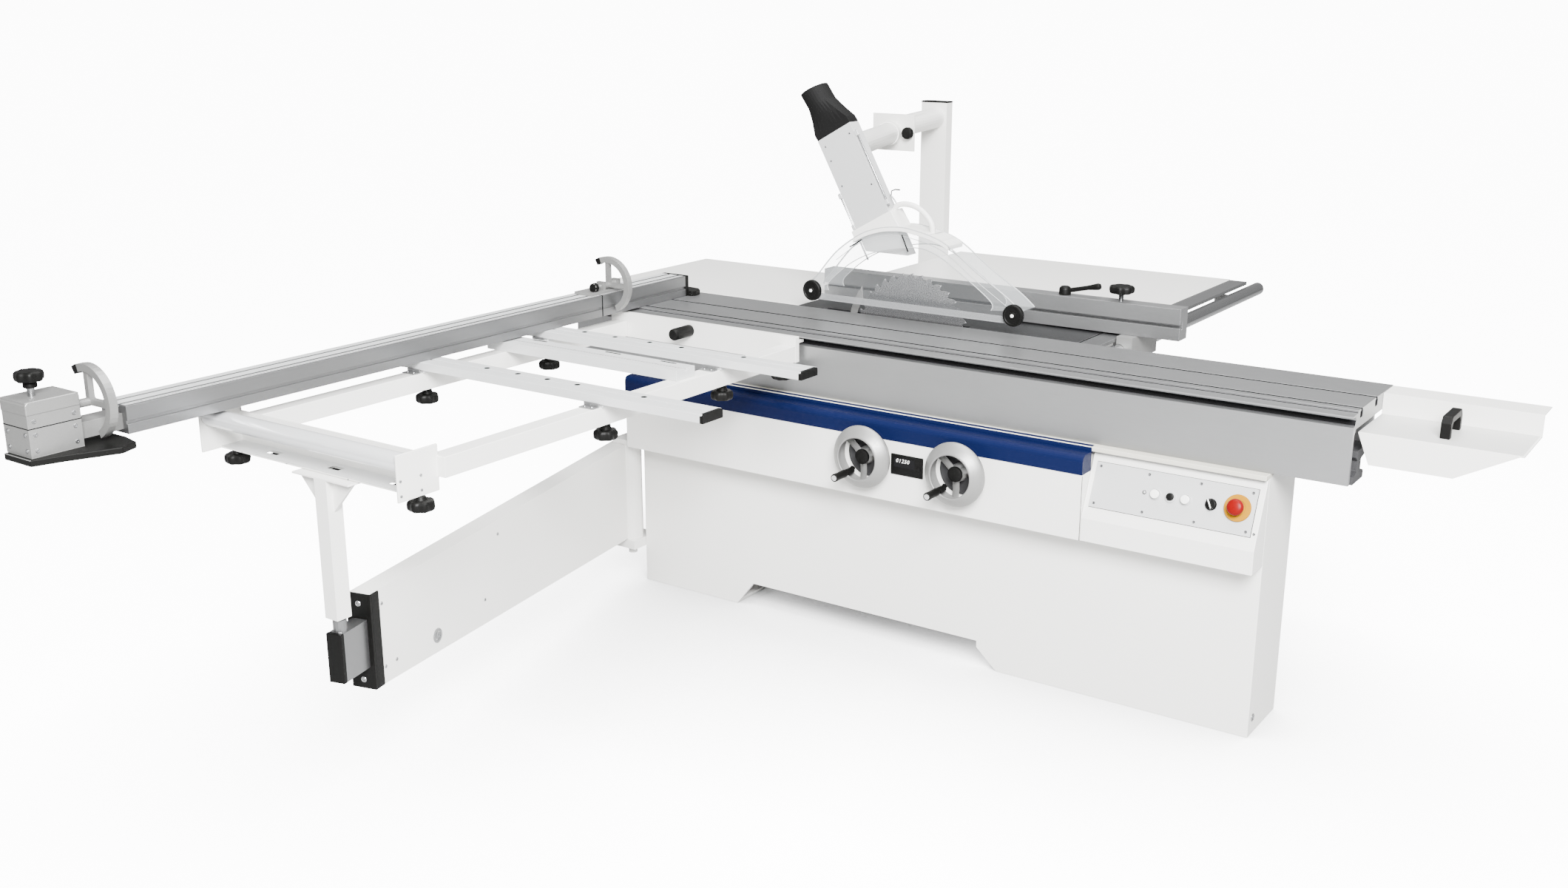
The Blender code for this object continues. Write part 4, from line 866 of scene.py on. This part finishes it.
def blade():
    """Circular saw blade with carbide teeth, gullets and its clamping flange."""
    pitch = 2 * math.pi / TEETH
    outline = []
    for i in range(TEETH):
        for share, radius in TOOTH:
            angle = (i + share) * pitch
            outline.append((BLADE_X + radius * math.cos(angle), BLADE_Z + radius * math.sin(angle)))
    disc = prism(outline, GUARD_Y - BLADE_HALF, GUARD_Y + BLADE_HALF, "Y")
    tips = []
    for i in range(TEETH):
        turn = Matrix.Translation((BLADE_X, GUARD_Y, BLADE_Z)) @ Matrix.Rotation(-i * pitch, 4, "Y")
        tips.append(moved(box((0.1935, -0.0016, -0.0012), (0.1998, 0.0016, 0.0014)), turn))
    add("saw_blade", [disc], "blade_steel", "saw_blade_body", swap=True)
    add("blade_tips", tips, "chrome", "saw_blade_body")
    seat = (BLADE_X, 0.362, BLADE_Z)
    flange = [(0.028, 0.0), (0.03, 0.0008), (0.03, 0.006), (0.0285, 0.0075), (0.016, 0.0075),
              (0.016, 0.0065), (0.0003, 0.0065)]
    add("blade_flange", [revolve(flange, OUTWARD, seat, 56)], "steel", "saw_blade_body")


# -------- knobs and levers

def lobed(centre, radius, height, axis=UP, lobes=7, scallop=0.11):
    """Grip knob with a scalloped edge and a dished top."""
    profile = [(radius * 0.45, 0.0), (radius * 0.86, height * 0.06), (radius * 0.97, height * 0.18),
               (radius, height * 0.36), (radius, height * 0.66), (radius * 0.96, height * 0.84),
               (radius * 0.84, height * 0.97), (radius * 0.62, height),
               (radius * 0.42, height * 0.93), (radius * 0.34, height * 0.95),
               (radius * 0.05, height * 0.95)]
    return revolve(profile, axis, centre, 84, lobes, scallop)


FRAME_FOOT = 0.8327         # underside of the frame's tubes
CROSS_Y = (-0.366, -0.862)  # lines of the two clamps across the frame


def hanging_knob(x, y):
    """Scalloped knob under the frame: its hub sits on top."""
    hub = [(0.011, 0.0), (0.0125, 0.0015), (0.0135, 0.012), (0.016, 0.018), (0.016, 0.02)]
    return [revolve(hub, DOWN, (x, y, FRAME_FOOT), 32),
            lobed((x, y, FRAME_FOOT - 0.0185), 0.0325, 0.027, DOWN)]


def knobs():
    """Clamp knobs of the frame and the fence, and the rip fence's lever and knob."""
    for name, y in zip(("bar_knob_near", "bar_knob_far"), CROSS_Y):
        add(name, hanging_knob(0.6, y), "black", name + "_body", swap=True)
    fixed = []
    for x, y in ((-0.056, -0.367), (-0.056, -0.863), (0.6, -0.07)):
        fixed += hanging_knob(x, y)
    for x, y in ((0.596, -1.49), (-0.06, -1.49)):
        hub = [(0.011, 0.0), (0.014, 0.006), (0.016, 0.009)]
        fixed.append(revolve(hub, DOWN, (x, y, 0.7995), 32))
        fixed.append(lobed((x, y, 0.792), 0.0325, 0.026, DOWN))
    add("frame_knobs", fixed, "black", CARRIAGE)
    end_knob()
    rip_controls()


def end_knob():
    """Knob on the fence's end block: pale stem, black collar and scalloped head."""
    seat = Vector((-0.07, -1.99, 1.0403))
    body = "fence_end_knob_body"
    stem = [(0.008, 0.0), (0.008, 0.02), (0.007, 0.021), (0.007, 0.03)]
    collar = [(0.0135, 0.0195), (0.015, 0.021), (0.015, 0.029), (0.0125, 0.0335)]
    head = lobed(seat + Vector((0, 0, 0.033)), 0.032, 0.025)
    add("fence_end_knob", [head, revolve(collar, UP, seat, 32)], "black", body, swap=True)
    add("fence_end_stem", [revolve(stem, UP, seat, 28)], "steel", body)


def rip_controls():
    """Cranked lever and scalloped knob on the rip fence."""
    seat = Vector((1.22, 0.531, 1.0143))
    hub = [(0.0165, 0.0), (0.018, 0.0015), (0.018, 0.016), (0.0165, 0.021), (0.012, 0.025),
           (0.0003, 0.0262)]
    bend = ((0.0, 0.0, 0.0125), (0.02, 0.0, 0.015), (0.05, 0.0, 0.022), (0.08, 0.0, 0.029))
    arm = [seat + Vector(point) for point in bend]
    grip = [(0.007, 0.0), (0.008, 0.01), (0.0098, 0.026), (0.01, 0.032), (0.008, 0.0375),
            (0.0003, 0.039)]
    add("rip_lever", [revolve(hub, UP, seat, 40), sweep(arm, 0.0068, 18),
                      revolve(grip, (0.97, 0.0, 0.2), seat + Vector((0.076, 0.0, 0.028)), 28)],
        "black", "rip_lever_body", swap=True)
    seat = Vector((1.4, 0.531, 1.0143))
    thread = [(0.0075, 0.0), (0.0075, 0.001)]
    for i in range(9):
        thread += [(0.0066, 0.002 + i * 0.0022), (0.0075, 0.0031 + i * 0.0022)]
    body = "rip_knob_body"
    add("rip_knob", [lobed(seat + Vector((0, 0, 0.022)), 0.038, 0.024),
                     revolve([(0.012, 0.019), (0.014, 0.02), (0.014, 0.0225)], UP, seat, 32)],
        "black", body, swap=True)
    add("rip_knob_thread", [revolve(thread, UP, seat, 28)], "steel", body)


# -------- crosscut frame

def rounded_end(low, high, radius=0.007):
    """(Y, Z) outline of a bar's end with rounded upper corners."""
    (y0, z0), (y1, z1) = low, high
    right = arc((y1 - radius, z1 - radius), radius, 0, 90, 5)
    left = arc((y0 + radius, z1 - radius), radius, 90, 180, 5)
    return [(y0, z0), (y1, z0)] + right + left


def perforated(xs, ys, holes, z0, z1):
    """Plate cut on a grid of X and Y lines, with the named (column, row) cells left open."""
    bm = bmesh.new()
    solid = {(i, j) for i in range(len(xs) - 1) for j in range(len(ys) - 1)} - set(holes)
    for i, j in solid:
        a, b = (xs[i], ys[j]), (xs[i + 1], ys[j])
        c, d = (xs[i + 1], ys[j + 1]), (xs[i], ys[j + 1])
        for z in (z0, z1):
            bm.faces.new([bm.verts.new((x, y, z)) for x, y in (a, b, c, d)])
        sides = {(i, j - 1): (a, b), (i + 1, j): (b, c), (i, j + 1): (c, d), (i - 1, j): (d, a)}
        for beside, (p, q) in sides.items():
            if beside not in solid:
                wall = ((*p, z0), (*q, z0), (*q, z1), (*p, z1))
                bm.faces.new([bm.verts.new(corner) for corner in wall])
    bmesh.ops.remove_doubles(bm, verts=bm.verts[:], dist=0.00001)
    return bm


BAR_TOP = 0.9155
SCALE_TOP = 0.9124
MARK_PITCH = 0.01


def mark_length(i, tenth, fifth, single):
    """Length of a scale's i-th mark."""
    return tenth if i % 10 == 0 else fifth if i % 5 == 0 else single


def bar_details():
    """Black end caps, sunk screws, the scale with its marks and the clips of the cross bars."""
    caps = []
    for low, high, left, right in (((-0.4154, 0.8926), (-0.3366, 0.9159), -0.1, 0.9),
                                   ((-0.9104, 0.8916), (-0.8296, 0.9159), -0.1, 0.95)):
        for start, stop in ((left - 0.004, left + 0.007), (right - 0.007, right + 0.004)):
            caps.append(prism(rounded_end(low, high), start, stop))
    add("bar_caps", caps, "black", CARRIAGE, 0.0015)
    sunk = [(0.008, -0.0006), (0.008, 0.0002), (0.0064, 0.0004), (0.005, 0.0002), (0.0003, 0.0002)]
    rows = ((-0.357, (0.083, 0.202, 0.333, 0.45, 0.67)),
            (-0.856, (0.178, 0.292, 0.398, 0.503, 0.726)))
    holes = [revolve(sunk, UP, (x, y, BAR_TOP), 24) for y, xs in rows for x in xs]
    add("bar_screws", holes, "groove", CARRIAGE)
    strip = box((-0.095, -0.553, 0.9116), (0.605, -0.539, SCALE_TOP))
    add("scale_strip", [strip], "plate", CARRIAGE, 0.0002)
    marks = []
    for i in range(69):
        x = -0.088 + i * MARK_PITCH
        far = -0.5525 + mark_length(i, 0.01, 0.0075, 0.005)
        marks.append(box((x, -0.5525, 0.9122), (x + 0.0009, far, 0.9127)))
    add("scale_marks", marks, "groove", CARRIAGE)
    slots = [box((x, -0.515, 0.9117), (x + 0.055, -0.508, SCALE_TOP)) for x in (0.02, 0.3, 0.5)]
    add("scale_slots", slots, "groove", CARRIAGE)
    clips = []
    for x in (-0.048, 0.6):
        for y in (-0.416, -0.911):
            clips.append(box((x - 0.024, y - 0.024, 0.883), (x + 0.024, y - 0.0006, 0.8858)))
            clips.append(box((x - 0.024, y - 0.004, 0.885), (x + 0.024, y - 0.0006, 0.895)))
    add("bar_clips", clips, "aluminium_x", CARRIAGE, 0.0008)
    heads = [screw((x + side, y, 0.8856), UP, 0.0042, 0.0022)
             for x in (-0.048, 0.6) for y in (-0.43, -0.925) for side in (-0.012, 0.012)]
    add("clip_screws", heads, "steel", CARRIAGE)


def frame_details():
    """Grey ledge with oblong holes and painted shade under them, roller with its journals, the
    rail's handle and screws.
    """
    xs = (-0.108, 0.04, 0.08, 0.265, 0.305, 0.48, 0.52, 0.6)
    ys = (-1.5048, -1.4805, -1.4595, -1.4355)
    ledge = perforated(xs, ys, ((1, 1), (3, 1), (5, 1)), 0.8049, 0.806)
    add("frame_ledge", [ledge], "plate", CARRIAGE)
    # painted shade: dark sheets just under the ledge's holes
    dark = [box((x - 0.019, -1.48, 0.8005), (x + 0.019, -1.46, 0.801)) for x in (0.06, 0.285, 0.5)]
    add("ledge_hole_shade", dark, "groove", CARRIAGE)
    barrel = [(0.009, 0.0), (0.02, 0.0), (0.0224, 0.0012), (0.023, 0.0035), (0.023, 0.6925),
              (0.0224, 0.6948), (0.02, 0.696), (0.009, 0.696)]
    add("outer_roller", [revolve(barrel, RIGHT, (-0.102, -1.53, 0.886), 64)], "roller",
        "outer_roller_body", swap=True)
    grip = [(0.008, 0.0), (0.015, 0.0006), (0.0178, 0.003), (0.0185, 0.008), (0.0185, 0.076),
            (0.0178, 0.083), (0.015, 0.0872), (0.009, 0.089), (0.0003, 0.0895)]
    add("rail_handle", [revolve(grip, OUTWARD, (0.23, -0.0364, 0.883), 40)], "black", CARRIAGE)
    heads = [screw((x, -1.5052, 0.8022), OUTWARD, 0.002, 0.0012) for x in (-0.02, 0.15, 0.37, 0.57)]
    heads += [screw((0.6008, y, z), RIGHT, 0.0035, 0.0018) for y in (-1.55, -1.49)
              for z in (0.815, 0.85)]
    add("frame_screws", heads, "steel", CARRIAGE)


# -------- crosscut fence

FENCE = "crosscut_fence_body"
EXTENSION = "fence_extension_body"
FENCE_TOP = 0.9833


def fence_details():
    """Black end cap and paddle, the seam in the face, the rule and its marks."""
    paddle = [(-0.106, 0.27), (-0.002, 0.27), (0.004, 0.285), (0.0, 0.312), (-0.02, 0.33),
              (-0.06, 0.335), (-0.098, 0.324), (-0.106, 0.3)]
    cap = box((-0.1212, 0.2605, 0.9166), (-0.0198, 0.277, 0.984))
    add("fence_end_cap", [cap, prism(paddle, 0.917, 0.933, "Z")], "black", FENCE, 0.002)
    seam = [box((-0.0214, -0.1575, 0.917), (-0.0206, -0.1535, 0.9826)),
            box((-0.119, -0.1575, 0.9826), (-0.0214, -0.1535, 0.9834))]
    add("fence_seam", seam, "groove", FENCE)
    strips = [box((x0, -1.799, 0.9829), (x1, 0.264, FENCE_TOP))
              for x0, x1 in ((-0.119, -0.0955), (-0.0845, -0.0575))]
    add("fence_top_strips", strips, "bar", FENCE)
    rule = box((-0.046, -1.796, 0.9828), (-0.03, 0.26, FENCE_TOP))
    add("fence_rule", [rule], "plate", FENCE, 0.0001)
    marks = []
    for i in range(203):
        y = 0.25 - i * MARK_PITCH
        left = -0.0305 - mark_length(i, 0.012, 0.0085, 0.0055)
        marks.append(box((left, y, 0.9832), (-0.0305, y + 0.0008, 0.9835)))
    add("fence_marks", marks, "groove", FENCE)


def end_block():
    """Seam, screws and the black foot plate of the fence's end block."""
    seam = box((-0.1206, -2.0356, 0.979), (-0.0204, -1.9094, 0.9812))
    add("block_seam", [seam], "groove", EXTENSION, 0.0004)
    cap = prism([(-2.0364, 1.01), (-2.0364, 1.034), (-2.03, 1.0405), (-1.916, 1.0405),
                 (-1.9086, 1.034), (-1.9086, 1.01)], -0.1215, -0.0195)
    add("block_cap", [cap], "cast", EXTENSION, 0.003, 3)
    foot = [(-0.1152, -2.0452), (-0.0112, -2.0452), (0.012, -1.975), (0.058, -1.868),
            (0.04, -1.822), (-0.0112, -1.8118), (-0.1152, -1.8118)]
    add("block_foot", [prism(foot, 0.8998, 0.9152, "Z")], "black", EXTENSION, 0.0025, 3)
    heads = [screw((-0.0211, y, z), RIGHT, 0.005, 0.0022)
             for y in (-2.02, -1.926) for z in (0.93, 0.966, 0.996)]
    heads += [screw((x, -2.0349, z), OUTWARD, 0.005, 0.0022) for x in (-0.105, -0.036)
              for z in (0.93, 0.966)]
    add("block_screws", heads, "steel", EXTENSION)


RING_CENTRE = (-0.05, 1.005)


def flip_stop_details():
    """Black caps on the rings' ends, and the carrier's lock knob."""
    outer = arc(RING_CENTRE, 0.0888, 108, 121, 4)
    inner = arc(RING_CENTRE, 0.0692, 121, 108, 4)
    for name, y in (("inner_flip_stop", -0.09), ("outer_flip_stop", -1.865)):
        add(name + "_tip", [prism(outer + inner, y - 0.0108, y + 0.0108, "Y")], "black",
            name + "_body", 0.001)
    lock = [(0.008, 0.0), (0.0135, 0.0008), (0.0148, 0.003), (0.015, 0.014), (0.014, 0.0175),
            (0.011, 0.0188), (0.0003, 0.019)]
    add("stop_lock_knob", [revolve(lock, OUTWARD, (-0.05, -0.1488, 1.005), 48, 8, 0.06)], "black",
        "stop_carrier_body")


# -------- swing arm, base, post

ARM_FRAME = Matrix.Translation((-0.04, -0.02, 0.0)) @ Matrix.Rotation(math.radians(14.1), 4, "Z")
ARM_END = -1.444
ARM_SIDE = -0.0012


def arm_details():
    """Black end bracket, screws, the roller bearing in the arm's face and the bar's end cap."""
    xs = (-0.066, -0.0525, -0.0095, 0.004)
    zs = (0.224, 0.2815, 0.4105, 0.475)
    stand = Matrix(((1, 0, 0, 0), (0, 0, 1, 0), (0, 1, 0, 0), (0, 0, 0, 1)))
    plate = moved(perforated(xs, zs, ((1, 1),), ARM_END - 0.0075, ARM_END - 0.0004), stand)
    flange = box((-0.0006, ARM_END - 0.0004, 0.224), (0.004, ARM_END + 0.03, 0.475))
    bracket = [moved(part, ARM_FRAME) for part in (plate, flange)]
    add("arm_bracket", bracket, "black", "swing_arm_body", 0.001)
    heads = [screw((-0.031, ARM_END - 0.0074, z), OUTWARD, 0.008, 0.003) for z in (0.248, 0.45)]
    places = ((0.045, 0.435), (0.044, 0.266), (0.092, 0.266), (0.519, 0.268), (0.602, 0.434))
    heads += [screw((ARM_SIDE, ARM_END + away, z), RIGHT, 0.0048, 0.002) for away, z in places]
    add("arm_screws", [moved(head, ARM_FRAME) for head in heads], "steel", "swing_arm_body")
    ring = [(0.012, 0.0), (0.02, 0.0), (0.02, 0.0018), (0.018, 0.003), (0.013, 0.003),
            (0.012, 0.002)]
    hub = [(0.01, 0.0), (0.01, 0.0022), (0.008, 0.0034), (0.005, 0.0034), (0.0045, 0.0014),
           (0.0003, 0.0014)]
    seat = (ARM_SIDE, ARM_END + 0.278, 0.257)
    bearing = [revolve(ring, RIGHT, seat, 48, closed=True), revolve(hub, RIGHT, seat, 32)]
    add("arm_bearing", [moved(part, ARM_FRAME) for part in bearing], "steel", "swing_arm_body")
    cap = moved(box((-0.0528, -1.557, 0.2822), (-0.0092, -1.544, 0.4098)), ARM_FRAME)
    add("arm_slide_cap", [cap], "black", "arm_slide_body", 0.002)


LOUVRES = 9
LOUVRE_PITCH = 0.022


def body_details():
    """Post cap, drain plug, cabinet louvres and the extraction port at the back."""
    cap = box((0.1664, 1.4689, 1.4885), (0.2776, 1.5151, 1.4935))
    add("post_cap", [cap], "black", "machine", 0.0012)
    plug = [(0.011, 0.0), (0.011, 0.0015), (0.0095, 0.0025), (0.007, 0.0026), (0.0062, 0.0012),
            (0.0003, 0.0012)]
    add("base_plug", [revolve(plug, RIGHT, (2.0459, 0.03, 0.048), 32)], "steel", "machine")
    slats = []
    for i in range(LOUVRES):
        z = 0.3 + i * LOUVRE_PITCH
        slat = [(0.899, z), (0.91, z + 0.003), (0.91, z + 0.006), (0.899, z + 0.014)]
        slats += [prism(slat, 0.42, 0.7), prism(slat, 0.9, 1.18)]
    add("cabinet_louvres", slats, "white", "machine", 0.0008)
    port = [(0.0498, -0.002), (0.056, -0.002), (0.056, 0.004), (0.0545, 0.006), (0.0545, 0.056),
            (0.0525, 0.058), (0.051, 0.058), (0.0498, 0.056)]
    add("extraction_port", [revolve(port, BACK, (0.62, 0.9, 0.2), 56, closed=True)], "black",
        "machine")


# -------- carriage and tray

CARRIAGE_ENDS = (-0.2698, 2.2358)
SLOT_FLOOR = 0.8932
SLOT_Y = (0.06, 0.192)


def carriage_details():
    """Painted shade: dark strips on the slot walls, under the lip and in the groove, and a darker
    sheet on the tray's floor; also the tray's handle.
    """
    left, right = CARRIAGE_ENDS
    # painted shade: near-black strips on the T-slots' walls and floors, at the foot of the step
    # under the lip and deep in the groove
    shade = [(0.0125, 0.8822), (0.0176, 0.893), (0.0168, 0.8934), (0.0116, 0.8826)]
    painted_shades = [box((left, 0.0272, 0.9098), (right, 0.0299, 0.9106)), prism(shade, left, right)]
    for y in SLOT_Y:
        for near, far, top in ((0.0046, 0.006, 0.915), (-0.006, -0.0046, 0.915),
                               (-0.0046, 0.0046, 0.8942)):
            painted_shades.append(box((left, y + near, SLOT_FLOOR), (right, y + far, top)))
    add("carriage_shade_lines", painted_shades, "groove", CARRIAGE)
    # painted shade: the tray's floor lies in shade, so a darker white sheet covers it
    add("tray_floor_shade", [box((2.2375, 0.0472, 0.8586), (2.609, 0.2535, 0.8592))], "tray_shade_white",
        CARRIAGE, 0.0002)
    bridge = [(0.094, 0.8594), (0.094, 0.898), (0.106, 0.914), (0.202, 0.914), (0.214, 0.898),
              (0.214, 0.8594), (0.196, 0.8594), (0.196, 0.886), (0.189, 0.896), (0.119, 0.896),
              (0.112, 0.886), (0.112, 0.8594)]
    add("tray_handle", [prism(bridge, 2.413, 2.437)], "black", CARRIAGE, 0.0025, 3, swap=True)


build_camera()
build_lights()
for finish, values in FINISHES.items():
    make_material(finish, *values)
build_floor()
dress()
handwheel("rise", RISE_X)
handwheel("tilt", TILT_X)
wheel_shade_disc("rise_shade_disc", RISE_X)
wheel_shade_disc("tilt_shade_disc", TILT_X)
counter()
panel()
rim_strip()
hood()
crown()
guard_wheel("guard_wheel_left", 0.458)
guard_wheel("guard_wheel_right", 1.165)
duct_details()
clamp_knob()
blade()
knobs()
bar_details()
frame_details()
fence_details()
end_block()
flip_stop_details()
arm_details()
body_details()
carriage_details()
